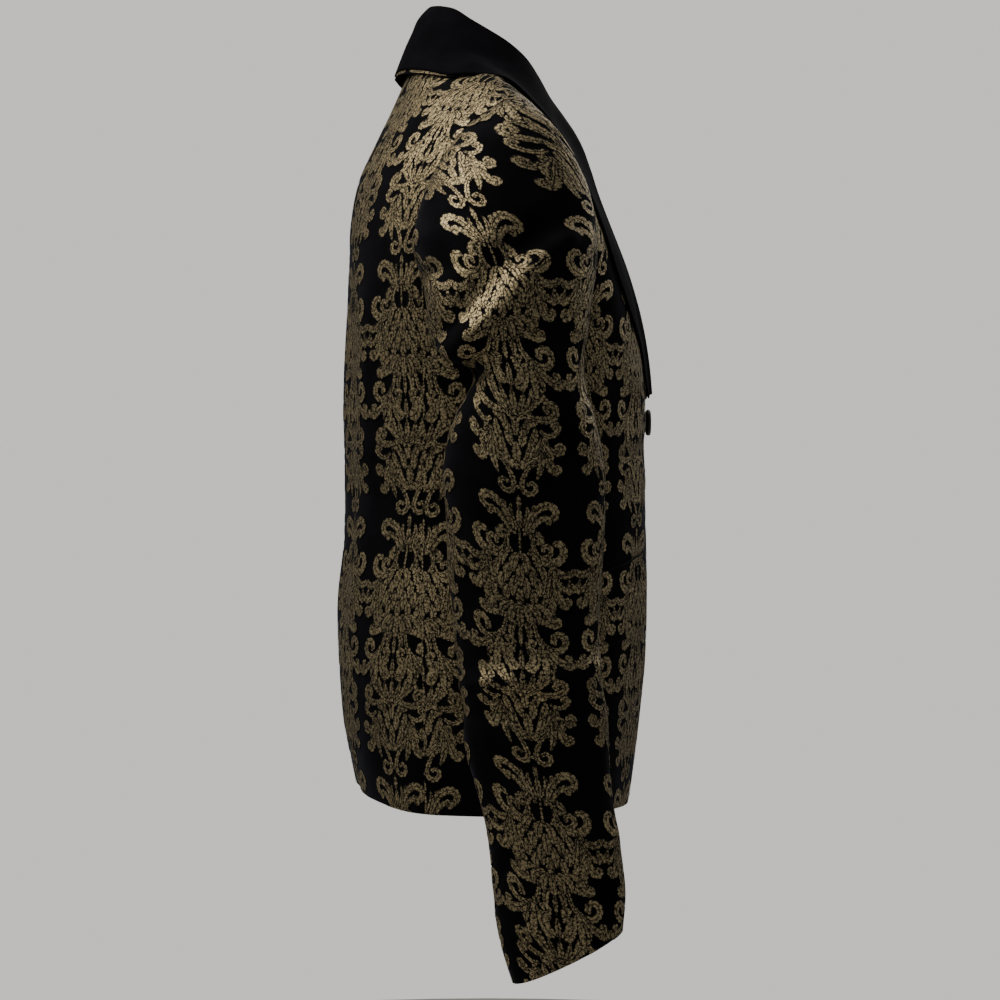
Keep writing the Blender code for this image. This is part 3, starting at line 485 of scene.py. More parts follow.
def stroke_grid(row):
    """One leaf or scroll as a strip three points wide: places, and (run, distance in, half width) at each."""
    start, via, end, radius, turn = row[0:2], row[2:4], row[4:6], row[6], math.radians(row[7])
    control = 2 * via - (start + end) / 2
    count = max(FEWEST_STEPS, int((np.linalg.norm(via - start) + np.linalg.norm(end - via)) / STROKE_STEP))
    t = np.linspace(0, 1, count)[:, None]
    path = (1 - t) ** 2 * start + 2 * t * (1 - t) * control + t * t * end
    if radius:
        steps = max(FEWEST_STEPS, int(abs(turn) * radius * CURL_LENGTH / CURL_STEP))
        shares = (np.arange(steps) + 0.5) / steps
        bearing = math.atan2(*(end - control)[::-1]) + turn * shares
        hops = abs(turn) / steps * radius * (1 - CURL_CLOSES * shares)
        heading = np.stack([np.cos(bearing), np.sin(bearing)], axis=1)
        path = np.concatenate([path, end + np.cumsum(heading * hops[:, None], axis=0)])
    run = np.concatenate([[0], np.cumsum(np.linalg.norm(np.diff(path, axis=0), axis=1))])
    s = run / run[-1]
    first, middle, last = row[8:11]
    width = first * (1 - s) * (1 - 2 * s) + middle * 4 * s * (1 - s) + last * s * (2 * s - 1)
    half = np.maximum(width, THREAD_WIDTH) / 2
    tip = path[-1] + (path[-1] - path[-2]) / np.linalg.norm(path[-1] - path[-2]) * half[-1] * TIP_REACH
    path, half = np.concatenate([path, tip[None]]), np.concatenate([half, [half[-1] * TIP_SHARE]])
    run = np.concatenate([run, [run[-1] + half[-2] * TIP_REACH]])
    ahead = np.gradient(path, axis=0)
    beside = np.stack([-ahead[:, 1], ahead[:, 0]], axis=1) / np.linalg.norm(ahead, axis=1, keepdims=True)
    places = np.stack([path + beside * half[:, None], path, path - beside * half[:, None]], axis=1)
    none = np.zeros_like(half)
    rib = half if row[11] and not 0 < radius < SMALL_CURL else half + NO_RIB
    weave = np.stack([np.stack([run, inwards, rib], axis=1) for inwards in (none, half, none)], axis=1)
    return places, weave


def berry_grid(row):
    """A round seed as a strip wound about its middle."""
    turn = np.linspace(0, 2 * math.pi, BERRY_TURNS)
    rim = row[:2] + row[2] * np.stack([np.cos(turn), np.sin(turn)], axis=1)
    middle = np.broadcast_to(row[:2], rim.shape)
    none = np.zeros(len(turn))
    weave = [np.stack([turn * row[2], none + inwards, none + NO_RIB], axis=1) for inwards in (0, row[2])]
    return np.stack([rim, middle], axis=1), np.stack(weave, axis=1)


def keep_weave(mesh, weave, tone):
    """Keeps on a mesh where each point lies in its stroke, and the tone of the stroke."""
    mesh.attributes.new("weave", "FLOAT_VECTOR", "POINT").data.foreach_set("vector", weave.ravel())
    mesh.attributes.new("tone", "FLOAT", "POINT").data.foreach_set("value", tone)


def damask_repeat():
    """One repeat of the damask as a flat mesh in millimetres, with its weave kept on the points."""
    corners, faces, weaves, tones, base = [], [], [], [], 0
    grids = [stroke_grid(row) for row in STROKES] + [berry_grid(row) for row in BERRIES]
    starts = [row[0] for row in STROKES] + [row[0] for row in BERRIES]
    for order, ((places, weave), start) in enumerate(zip(grids, starts)):
        for hand in (1, -1) if start else (1,):
            quads = base + grid_quads(*places.shape[:2])
            flat = places.reshape(-1, 2) * (hand, 1)
            corners.append(np.column_stack([flat, np.full(len(flat), order * LAYER_LIFT)]))
            faces.append(quads if hand > 0 else quads[:, ::-1])
            weaves.append(weave.reshape(-1, 3))
            tones.append(np.full(len(flat), (order * TONE_STEP) % 1.0))
            base += len(flat)
    mesh = bpy.data.meshes.new("damask_repeat")
    mesh.from_pydata(np.concatenate(corners).tolist(), [], np.concatenate(faces).tolist())
    keep_weave(mesh, np.concatenate(weaves), np.concatenate(tones))
    return bpy.data.objects.new("damask_repeat", mesh)


def gold_weave():
    """Metal thread woven flat: scalloped at its edges, veined down its leaves and grainy all over."""
    material, tree, shader = finish("gold_weave", Specular_IOR_Level=0.4)
    attribute = node(tree, "ShaderNodeAttribute", attribute_name="weave").outputs["Vector"]
    run, inwards, half = node(tree, "ShaderNodeSeparateXYZ", Vector=attribute).outputs
    tone = node(tree, "ShaderNodeAttribute", attribute_name="tone").outputs["Fac"]
    place = node(tree, "ShaderNodeTexCoord").outputs["Object"]
    noise = node(tree, "ShaderNodeTexNoise", Vector=place, Scale=500.0, Detail=2.0, Roughness=0.65)
    grain = noise.outputs["Fac"]
    fleck = node(tree, "ShaderNodeTexVoronoi", Vector=place, Scale=1050.0).outputs["Distance"]

    def math_of(operation, first, second=0.0, third=0.0):
        made = node(tree, "ShaderNodeMath", operation=operation, i0=first, i1=second, i2=third)
        return made.outputs[0]

    wave = math_of("ABSOLUTE", math_of("SINE", math_of("MULTIPLY", run, math.pi / SCALLOP)))
    bite = math_of("MULTIPLY_ADD", math_of("SQRT", wave), -1.22, 1.64)
    ragged = math_of("MULTIPLY_ADD", grain, 0.5, -0.25)
    inside = math_of("ADD", math_of("SUBTRACT", inwards, bite), ragged)
    edge = node(tree, "ShaderNodeMapRange", Value=inside, From_Min=-0.12, From_Max=0.12).outputs[0]
    vein = math_of("ADD", math_of("SUBTRACT", half, inwards), ragged)
    open_vein = node(tree, "ShaderNodeMapRange", Value=vein, From_Min=0.16, From_Max=0.40).outputs[0]
    shown = math_of("MULTIPLY", edge, open_vein)
    thread = node(tree, "ShaderNodeMapRange", Value=math_of("ADD", grain, math_of("MULTIPLY", fleck, 0.35)),
                  From_Min=0.53, From_Max=0.84, To_Min=0.03, To_Max=1.0).outputs[0]
    dim = node(tree, "ShaderNodeMapRange", Value=tone, To_Min=0.78, To_Max=1.0).outputs[0]
    bright = math_of("MULTIPLY", math_of("MULTIPLY", thread, dim), shown)
    colour = two_tones(tree, bright, (0.006, 0.005, 0.005), (0.90, 0.735, 0.425))
    tree.links.new(colour, shader.inputs["Base Color"])
    tree.links.new(math_of("MULTIPLY", shown, 0.86), shader.inputs["Metallic"])
    rough = node(tree, "ShaderNodeMapRange", Value=shown, To_Min=0.9, To_Max=0.46).outputs[0]
    tree.links.new(rough, shader.inputs["Roughness"])
    raised = math_of("MULTIPLY", thread, shown)
    bump = node(tree, "ShaderNodeBump", Strength=0.35, Distance=0.0004, Height=raised)
    tree.links.new(bump.outputs[0], shader.inputs["Normal"])
    return material


def repeat_tree():
    """Geometry Nodes that set the repeat out in columns and rows, as the loom does."""
    tree = bpy.data.node_groups.new("damask_repeats", "GeometryNodeTree")
    inputs = {}
    for label, kind in (("Repeat", "NodeSocketObject"),
                        ("Columns", "NodeSocketInt"), ("Rows", "NodeSocketInt"),
                        ("Across", "NodeSocketFloat"), ("Down", "NodeSocketFloat"),
                        ("Middle", "NodeSocketVector"), ("Thread", "NodeSocketMaterial")):
        inputs[label] = tree.interface.new_socket(label, in_out="INPUT", socket_type=kind).identifier
    tree.interface.new_socket("Geometry", in_out="OUTPUT", socket_type="NodeSocketGeometry")
    given = tree.nodes.new("NodeGroupInput").outputs
    one = node(tree, "GeometryNodeObjectInfo", Object=given["Repeat"]).outputs["Geometry"]
    grid = node(tree, "GeometryNodeMeshGrid", Size_X=given["Across"], Size_Y=given["Down"],
                Vertices_X=given["Columns"], Vertices_Y=given["Rows"]).outputs["Mesh"]
    moved = node(tree, "GeometryNodeTransform", Geometry=grid, Translation=given["Middle"]).outputs[0]
    set_out = node(tree, "GeometryNodeInstanceOnPoints", Points=moved, Instance=one).outputs[0]
    whole = node(tree, "GeometryNodeRealizeInstances", Geometry=set_out).outputs[0]
    woven = node(tree, "GeometryNodeSetMaterial", Geometry=whole, Material=given["Thread"]).outputs[0]
    tree.links.new(woven, tree.nodes.new("NodeGroupOutput").inputs[0])
    return tree, inputs


one_repeat = damask_repeat()
gold_thread = gold_weave()
repeats, repeat_inputs = repeat_tree()
PLACE_PASSES, LAST_CELL, PAST_EDGE = 7, 1.001, 3
PLACES_AT_ONCE, DAMASK_MARGIN, THINNEST_QUAD = 9000, 12.0, 0.02


def set_out_repeats(low, high, axis, palmette):
    """Flat damask over a stretch of cloth: points, faces and the weave's two attributes."""
    first = np.floor((low - (axis, palmette)) / (REPEAT_WIDTH, REPEAT_HEIGHT)) - 1
    last = np.ceil((high - (axis, palmette)) / (REPEAT_WIDTH, REPEAT_HEIGHT)) + 1
    columns, rows = (last - first + 1).astype(int)
    middle = (first + last) / 2 * (REPEAT_WIDTH, REPEAT_HEIGHT) + (axis, palmette)
    holder = bpy.data.objects.new("damask_field", bpy.data.meshes.new("damask_field"))
    bpy.context.scene.collection.objects.link(holder)
    field = holder.modifiers.new("repeats", "NODES")
    field.node_group = repeats
    for label, value in (("Repeat", one_repeat), ("Columns", int(columns)), ("Rows", int(rows)),
                         ("Across", float(columns - 1) * REPEAT_WIDTH),
                         ("Down", float(rows - 1) * REPEAT_HEIGHT),
                         ("Middle", (*middle, 0.0)), ("Thread", gold_thread)):
        field[repeat_inputs[label]] = value
    graph = bpy.context.evaluated_depsgraph_get()
    mesh = bpy.data.meshes.new_from_object(holder.evaluated_get(graph))
    places, weave = np.empty(len(mesh.vertices) * 3, np.float32), np.empty(len(mesh.vertices) * 3, np.float32)
    tone, quads = np.empty(len(mesh.vertices), np.float32), np.empty(len(mesh.polygons) * 4, np.int32)
    mesh.vertices.foreach_get("co", places)
    mesh.attributes["weave"].data.foreach_get("vector", weave)
    mesh.attributes["tone"].data.foreach_get("value", tone)
    mesh.loops.foreach_get("vertex_index", quads)
    bpy.data.objects.remove(holder)
    bpy.data.meshes.remove(mesh)
    return places.reshape(-1, 3).astype(float), quads.reshape(-1, 4), weave.reshape(-1, 3), tone


def place_on_cloth(flat, flat_x, flat_y):
    """Row and column on a grid of cloth for each flat place, found by turns along its columns and rows."""
    rows, columns = flat_x.shape
    row, column = np.full(len(flat), rows / 2.0), np.full(len(flat), columns / 2.0)

    def found(profile, wanted):
        k = np.clip((profile < wanted).sum(axis=0) - 1, 0, len(profile) - 2)
        low, high = np.take_along_axis(profile, k[None], 0)[0], np.take_along_axis(profile, k[None] + 1, 0)[0]
        place = k + (wanted - low) / np.maximum(high - low, 1e-6)
        return np.clip(place, -PAST_EDGE, len(profile) - 1 + PAST_EDGE)

    for _ in range(PLACE_PASSES):
        near = np.clip(column, 0, columns - LAST_CELL)
        k = near.astype(int)
        row = found(flat_y[:, k] * (1 - near + k) + flat_y[:, k + 1] * (near - k), flat[:, 1])
        near = np.clip(row, 0, rows - LAST_CELL)
        k = near.astype(int)
        across = flat_x[k] * (1 - near + k)[:, None] + flat_x[k + 1] * (near - k)[:, None]
        column = found(across.T, flat[:, 0])
    return row, column


def damask_on(name, points, flat_x, flat_y, outward, side, axis, palmette):
    """The gold that shows on one panel: the flat repeats cut to the panel and laid on its face."""
    low, high = np.array([flat_x.min(), flat_y.min()]), np.array([flat_x.max(), flat_y.max()])
    places, quads, weave, tone = set_out_repeats(low, high, axis, palmette)
    around = ((places[:, :2] > low - DAMASK_MARGIN) & (places[:, :2] < high + DAMASK_MARGIN)).all(axis=1)
    quads = quads[around[quads].all(axis=1)]
    used = np.unique(quads)
    quads = np.searchsorted(used, quads)
    places, weave, tone = places[used], weave[used], tone[used]
    parts = np.array_split(places[:, :2], len(places) // PLACES_AT_ONCE + 1)
    spots = [place_on_cloth(part, flat_x, flat_y) for part in parts]
    row, column = (np.concatenate(found) for found in zip(*spots))
    rows, columns = flat_x.shape
    inside = (row > 0) & (row < rows - 1) & (column > 0) & (column < columns - 1)
    quads = quads[inside[quads].any(axis=1)]
    row, column = np.clip(row, 0, rows - LAST_CELL), np.clip(column, 0, columns - LAST_CELL)
    k, j = row.astype(int), column.astype(int)
    u, v = (row - k)[:, None], (column - j)[:, None]

    def between(grid):
        return ((grid[k, j] * (1 - v) + grid[k, j + 1] * v) * (1 - u)
                + (grid[k + 1, j] * (1 - v) + grid[k + 1, j + 1] * v) * u)

    normal = between(normals_of(points, outward))
    normal /= np.linalg.norm(normal, axis=1, keepdims=True)
    lifted = between(points) + normal * (GOLD_LIFT + places[:, 2:3])
    spread = np.linalg.norm(np.cross(lifted[quads[:, 2]] - lifted[quads[:, 0]],
                                     lifted[quads[:, 3]] - lifted[quads[:, 1]]), axis=1)
    quads = quads[spread > THINNEST_QUAD]
    used = np.unique(quads)
    quads = np.searchsorted(used, quads)
    flip = np.array([SIDES[side], 1, 1])
    lifted, normal, weave, tone = lifted[used] * flip * MM, normal[used] * flip, weave[used], tone[used]
    facing = np.cross(lifted[quads[:, 2]] - lifted[quads[:, 0]], lifted[quads[:, 3]] - lifted[quads[:, 1]])
    wrong = (facing * normal[quads[:, 0]]).sum(axis=1) < 0
    quads[wrong] = quads[wrong][:, ::-1]
    mesh = bpy.data.meshes.new(name)
    mesh.from_pydata(lifted.tolist(), [], quads.tolist())
    keep_weave(mesh, weave, tone)
    mesh.materials.append(gold_thread)
    mesh.shade_smooth()
    mesh.normals_split_custom_set_from_vertices(normal.tolist())
    piece = bpy.data.objects.new(name, mesh)
    bpy.context.scene.collection.objects.link(piece)
    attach(piece, "root")
    return piece


def flat_cut(points, plumb_row):
    """Flat places of a panel's grid: across from its first seam, and down from the level of one row."""
    across, down = run_across(points)
    return across, down - down[plumb_row] - points[plumb_row, :, 2]


def cut_panel(label, points, flat_x, flat_y, outward, side, axis, palmette, cut):
    """One panel: a velvet sheet with its gold, for its solid. The cut, its width, length and area, is not
    used.
    """
    name = f"{label}_{side}_cloth"
    sheet = cloth_shell(name, points, side, outward, CLOTH, [ground_velvet, cloth_back])
    gold = damask_on(f"{name}_damask", points, flat_x, flat_y, outward, side, axis, palmette)
    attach(sheet, "root")
    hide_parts(f"{label}_{side}")
    return sheet


SEAM_ROWS, EVEN_ROWS_FROM, CHEST_LEVEL, SIDE_PLUMB_ROW = (-SEAM_LAP / 2, 1.6, 3.0), 5.0, 300.0, 20
# Where the damask's upright axis and its palmettes lie on each panel
BACK_DAMASK, SIDE_DAMASK, FRONT_DAMASK = (15.0, 318.0), (0.0, 320.0), (111.0, 332.0)
even_rows = np.linspace(EVEN_ROWS_FROM, LEVELS[-1], BODY_ROWS - len(SEAM_ROWS))
body_levels = np.concatenate([SEAM_ROWS, even_rows])
underarm = LEVELS[UNDERARM_ROW]
side_levels = np.concatenate([[underarm], body_levels[body_levels > underarm + 1]])
chest_row = int(np.searchsorted(body_levels, CHEST_LEVEL))
back = folded(loft(back_row, 0, seam_shares(BACK_COLUMNS, BACK_WIDTH), body_levels), [0, 2], BACK_FOLDS)
side_panel = folded(loft(side_row, UNDERARM_ROW, seam_shares(SIDE_COLUMNS, SIDE_WIDTH), side_levels), [1, 2],
                    SIDE_FOLDS)
front = front_edged(folded(loft(front_row, 0, seam_shares(FRONT_COLUMNS, FRONT_WIDTH), body_levels), [0, 2],
                           FRONT_FOLDS))
fronts = {side: overlapped(front, side) for side in SIDES}
for side in SIDES:
    for label, panel, worn, plumb_row, seams, damask, cut in (
            ("back", back, back, chest_row, ALL_SEAMS, BACK_DAMASK, (0.24, 0.64, 0.121)),
            ("side", side_panel, side_panel, SIDE_PLUMB_ROW, ALL_SEAMS, SIDE_DAMASK, (0.115, 0.42, 0.04)),
            ("front", front, fronts[side], chest_row, ("first", "top"), FRONT_DAMASK, (0.24, 0.64, 0.121))):
        outward = from_torso(panel)
        cut_panel(label, seam_dipped(worn, outward, seams), *flat_cut(panel, plumb_row), outward, side,
                  *damask, cut)

# Sleeves
# Each is an upper and an under piece of the same cloth, eased into the armhole with a rounded head. It hangs
# a little bent, so the cloth drags in a slanting fold below the head and creases at the elbow.
# columns: height, centre y, back y, front y, inner x, outer x, drop of the back edge per mm towards the back
SLEEVE_SECTIONS = np.array([
    (-225, -24, 35, -81, 186, 272, 0.00),
    (-239, -25, 28, -78, 186, 273, 0.00),
    (-250, -27, 6, -78, 187, 273, 0.00),
    (-263, -29, 5, -79, 187, 273, 0.00),
    (-284, -32, 15, -85, 187, 274, 0.00),
    (-305, -33, 22, -90, 187, 275, 0.00),
    (-324, -34, 25, -93, 187, 275, 0.00),
    (-350, -35, 23, -94, 187, 274, 0.02),
    (-386, -36, 21, -92, 188, 273, 0.04),
    (-422, -36, 18, -90, 189, 272, 0.06),
    (-458, -37, 15, -89, 192, 272, 0.08),
    (-486, -39, 10, -91, 194, 272, 0.09),
    (-508, -42, 10, -95, 195, 271, 0.10),
    (-530, -45, 7, -96, 196, 270, 0.12),
    (-552, -49, 0, -97, 198, 269, 0.14),
    (-574, -52, -6, -99, 199, 268, 0.17),
    (-598, -56, -10, -102, 200, 268, 0.21),
    (-626, -60, -12, -106, 201, 267, 0.29),
    (-652, -63, -17, -108, 202, 266, 0.38),
    (-680, -66, -26, -106, 203, 265, 0.48),
], float)
SLEEVE_SQUARENESS = 2.25
ARM_AXIS = np.array([229.0, -36.0, 0.0])
CAP_REACH_TOP, CAP_REACH_UNDER = 150.0, 26.0
CAP_OUT, CAP_SWELL_BACK, CAP_SWELL_FRONT, CAP_DROP, CAP_CROWN_LIFT = 0.90, 0.30, 0.85, 0.32, 0.10
HIND_SEAM_DEG, FORE_SEAM_DEG = 118.0, 245.0
CAP_ROWS, ARM_ROWS, UPPER_COLUMNS, UNDER_COLUMNS = 44, 120, 62, 32
SLEEVE_UNROLL_RADIUS, HEAD_TURNED_IN = 52.0, 2.5
ARMHOLE_POINTS, ARMHOLE_EDGE_STEPS, UNDERARM_STEPS = 241, 60, 40
SLEEVE_PALMETTE, HEAD_CLOSES_UP = 304.0, 0.9
HEAD_LEAN, HEAD_LEAN_FROM, HEAD_LEAN_SOFTENS = 0.5, -184.0, 12.0
LEAN_DEGREES, LEAN_SHARES = (-60, 10), (0.5, 1.0)
# columns: start degrees round from outside, start height, end degrees, end height, half width, rise
SLEEVE_FOLDS = np.array([
    (-14, -236, 88, -258, 8, -6.0),
    (-60, -300, 40, -352, 20, 3.0),
    (-70, -468, 75, -482, 8, 7.0),
    (-50, -520, 60, -556, 13, -3.0),
    (-62, -150, -14, -215, 10, 1.8),
    (-80, -262, -6, -300, 10, -2.0),
    (-80, -350, -10, -392, 9, -2.4),
    (20, -380, 88, -398, 9, 2.0),
    (-78, -430, 10, -452, 8, -2.4),
    (-44, -496, 80, -504, 7, -4.0),
    (-84, -590, 12, -612, 10, 2.2),
    (30, -600, 92, -640, 9, -2.2),
    (52, -154, 104, -158, 10, 3.2),
    (46, -179, 104, -184, 6, -5.0),
    (150, -260, 210, -300, 10, -2.6),
    (140, -420, 222, -440, 11, 2.4),
    (150, -500, 210, -520, 9, -2.4),
], float)
# The fold that drags from the sleeve's head to the back: degrees round and height along its crest
DRAG_FOLD = np.array([
    (-46, -148), (-28, -167), (-14, -181), (-6, -195), (2, -208), (17, -224), (42, -240), (82, -249),
], float)
DRAG_RISE, DRAG_FACE, DRAG_UNDER = 6.3, 9.5, 8.0
DRAG_HOLLOW, HOLLOW_BACK, HOLLOW_WIDTH = 4.3, 18.5, 9.0
DRAG_DEEPER, DEEPER_REACH, FADE_HEAD, FADE_BACK = 0.45, 62.0, 18.0, 14.0


def drag_fold(flat, to_mm):
    """Lift of the drag fold: a sloping face above its crest, a hollow before it, and a short under side."""
    line = DRAG_FOLD * (to_mm, 1)
    hops = np.diff(line, axis=0)
    lengths = np.linalg.norm(hops, axis=1)
    starts = np.concatenate([[0], np.cumsum(lengths)])
    shape = flat.shape[:2]
    nearest, above, run = np.full(shape, np.inf), np.zeros(shape), np.zeros(shape)
    for start, hop, length, reached in zip(line, hops, lengths, starts):
        away = flat - start
        share = np.clip(away @ hop / length ** 2, 0, 1)
        distance = np.linalg.norm(away - share[..., None] * hop, axis=2)
        closer = distance < nearest
        nearest = np.where(closer, distance, nearest)
        above = np.where(closer, np.sign(hop[0] * away[..., 1] - hop[1] * away[..., 0]) * distance, above)
        run = np.where(closer, reached + share * length, run)
    crest = DRAG_RISE * np.exp(-((above / np.where(above > 0, DRAG_FACE, DRAG_UNDER)) ** 2))
    hollow = DRAG_HOLLOW * np.exp(-(((above - HOLLOW_BACK) / HOLLOW_WIDTH) ** 2))
    deeper = 1 + DRAG_DEEPER * (1 - eased(run / DEEPER_REACH))
    return (crest - hollow) * deeper * eased(run / FADE_HEAD) * eased((starts[-1] - run) / FADE_BACK)


def armhole_loop():
    """The armhole's edge, round from the shoulder tip by the back, the underarm and the front."""
    fine = np.linspace(0, LEVELS[UNDERARM_ROW], ARMHOLE_EDGE_STEPS)
    loop = np.concatenate([loft(back_row, 0, np.array([1.0]), fine)[:, 0],
                           side_row(UNDERARM_ROW, np.linspace(0, 1, UNDERARM_STEPS))[1:-1],
                           loft(front_row, 0, np.array([0.0]), fine)[::-1, 0]])
    lengths = np.concatenate([[0], np.cumsum(np.linalg.norm(np.diff(loop, axis=0), axis=1))])
    even = np.linspace(0, lengths[-1], ARMHOLE_POINTS)
    return np.stack([np.interp(even, lengths, loop[:, k]) for k in range(3)], axis=1)


def sleeve_ring(section, angles):
    """A closed section of the sleeve. Zero degrees is outside, ninety is the back."""
    height, centre_y, back_y, front_y, inner_x, outer_x, drop = section
    cosine, sine = np.cos(angles), np.sin(angles)
    power = 2 / SLEEVE_SQUARENESS
    x = (inner_x + outer_x) / 2 + (outer_x - inner_x) / 2 * np.sign(cosine) * np.abs(cosine) ** power
    reach = np.where(sine > 0, back_y - centre_y, centre_y - front_y)
    y = centre_y + reach * np.sign(sine) * np.abs(sine) ** power
    return np.stack([x, y, height - drop * (y - centre_y)], axis=1)


def sleeve_points(angles):
    """Rows of the sleeve from the armhole to the cuff: a cap rolled over the shoulder, then the arm."""
    loop = armhole_loop()
    turn = np.mod(angles, 2 * math.pi) / (2 * math.pi)
    start = np.stack([np.interp(turn, np.linspace(0, 1, len(loop)), loop[:, k]) for k in range(3)], axis=1)
    start = start - np.array([HEAD_TURNED_IN, 0, 0])
    end = sleeve_ring(SLEEVE_SECTIONS[0], angles)
    reach = CAP_REACH_UNDER + (CAP_REACH_TOP - CAP_REACH_UNDER) * ((1 + np.cos(angles)) / 2)[:, None]
    swell = np.where(np.sin(angles) > 0, CAP_SWELL_BACK, CAP_SWELL_FRONT) * np.sin(angles)
    rise = CAP_CROWN_LIFT * np.cos(angles) - CAP_DROP
    leave = np.stack([np.full_like(angles, CAP_OUT), swell, rise], axis=1)
    u = np.linspace(0, 1, CAP_ROWS)[:, None, None]
    cap = (start * (1 + 2 * u) * (1 - u) ** 2 + end * u * u * (3 - 2 * u)
           + leave * reach * u * (1 - u) ** 2 + np.array([0, 0, -1.0]) * reach * u * u * (u - 1))
    depths = np.linspace(-SLEEVE_SECTIONS[0, 0], -SLEEVE_SECTIONS[-1, 0], ARM_ROWS)[1:]
    arm = np.array([sleeve_ring(section, angles)
                    for section in smooth(-SLEEVE_SECTIONS[:, 0], SLEEVE_SECTIONS, depths)])
    points = np.concatenate([cap, arm])
    to_mm = math.pi / 180 * SLEEVE_UNROLL_RADIUS
    degrees = np.degrees(angles)
    flat = np.stack([np.broadcast_to(degrees * to_mm, points.shape[:2]), points[..., 2]], axis=2)
    lift = drag_fold(flat, to_mm) + lift_of(flat, SLEEVE_FOLDS * (to_mm, 1, to_mm, 1, 1, 1))
    lift = lift * eased(run_across(points)[1] / SEAM_HOLD)
    return points + normals_of(points, (points - ARM_AXIS) * (1, 1, 0)) * lift[..., None]


def sleeve_angles(first_deg, last_deg, columns):
    span = last_deg - first_deg
    return np.radians(first_deg + span * seam_shares(columns, math.radians(span) * SLEEVE_UNROLL_RADIUS))


def sleeve_flat(points, angles):
    """The sleeve's flat places: across from its outermost line, leaning back in the head, and down."""
    across, down = run_across(points)
    outermost = np.array([np.interp(0.0, angles, row) if angles[0] < 0 else 0.0 for row in across])
    flat_x = across - outermost[:, None]
    flat_x[:CAP_ROWS] = flat_x[CAP_ROWS - 1]
    risen = HEAD_LEAN_SOFTENS * np.logaddexp(0, (points[..., 2] - HEAD_LEAN_FROM) / HEAD_LEAN_SOFTENS)
    flat_x -= HEAD_LEAN * risen * np.interp(np.degrees(angles), LEAN_DEGREES, LEAN_SHARES)
    flat_y = down - down[CAP_ROWS - 1] - points[CAP_ROWS - 1, :, 2]
    above = SLEEVE_PALMETTE - flat_y
    return flat_x, np.where(above > 0, SLEEVE_PALMETTE - above * HEAD_CLOSES_UP, flat_y)


upper_angles = sleeve_angles(FORE_SEAM_DEG - 360, HIND_SEAM_DEG, UPPER_COLUMNS)
under_angles = sleeve_angles(HIND_SEAM_DEG, FORE_SEAM_DEG, UNDER_COLUMNS)
for side in SIDES:
    for label, angles, axis, cut in (("upper_sleeve", upper_angles, 5.0, (0.26, 0.66, 0.13)),
                                     ("under_sleeve", under_angles, 60.0, (0.14, 0.53, 0.055))):
        sleeve = sleeve_points(angles)
        outward = (sleeve - ARM_AXIS) * (1, 1, 0)
        cut_panel(label, seam_dipped(sleeve, outward, ALL_SEAMS), *sleeve_flat(sleeve, angles), outward, side,
                  axis, SLEEVE_PALMETTE, cut)

# Shawl collar
# One long collar of plain black velvet in two halves, folded over its stand behind the neck and rolled down
# the fronts to the button. Its under side behind the neck is faced with a strip of the damask cloth.
# columns: fold x y z | foot x y z | middle x y z | edge x y z | fold radius
COLLAR_STATIONS = np.array([
    (0, 38, 60, 0, 49, 24, 0, 60, 32, 0, 72, 3, 3.2),
    (24, 34, 55.5, 26, 44, 24, 34, 55, 30, 40, 66, 1, 3.2),
    (46, 20, 49.5, 50, 27, 20, 66, 37, 23, 84, 47, -6, 3.2),
    (63, 0, 33, 67, 5, 13, 93, 10, 7, 130, 16, -19, 3.2),
    (67, -20, 21, 69, -18, 4, 99, -15, -2, 142, -12, -24, 3.0),
    (66, -37, 6, 68, -36, -9, 101, -40, -19, 142, -42, -46, 2.8),
    (61, -58, -29, 65, -56, -37, 97, -64, -50, 138, -66, -76, 2.5),
    (54, -78, -58, 60, -75, -63, 93, -83, -82, 134, -83, -109, 2.2),
    (47, -87.5, -88, 55, -85, -93, 86, -95, -113, 128, -95, -138, 2.1),
    (38, -105, -126, 47, -101, -131, 78, -108, -151, 118, -107, -176, 2.1),
    (29, -121, -165, 38, -117, -169, 63, -121, -185, 98, -118, -206, 2.1),
    (19, -132, -203, 27, -129, -206, 45, -132, -217, 70, -129, -233, 2.1),
    (10, -139, -240, 17, -136, -242, 24, -139, -246, 37, -137, -252, 2.1),
    (4, -141, -262, 8, -140, -263, 12, -142, -265, 19, -141, -268, 2.0),
], float)
COLLAR_CLOTH, UNDER_COLLAR_CLOTH = 1.4, 1.0
COLLAR_ALONG, STAND_COLUMNS, UNDER_COLLAR_ROWS, UNDER_COLLAR_COLUMNS = 24, 3, 6, 4
COLLAR_CLEARANCE, LAPEL_CLEARANCE, ROLL_CLEARANCE = 3.2, 2.8, 0.8
ROLL_BELOW, CLEARANCE_REACH = -25.0, 16.0
UNDER_COLLAR_GAP, UNDER_COLLAR_LIP = 0.36, 3.0
COLLAR_FINE, STRIP_FINE, FALL_STEPS, SEARCH_EVERY = (120, 46), (60, 12), 6, 4
CLEARING_PASSES, LIP_FADE, LIP_ROWS = 2, 2.6, 4
UNDER_COLLAR_DAMASK, LIP_DAMASK = (20.0, -120.0), (20.0, 27.0)


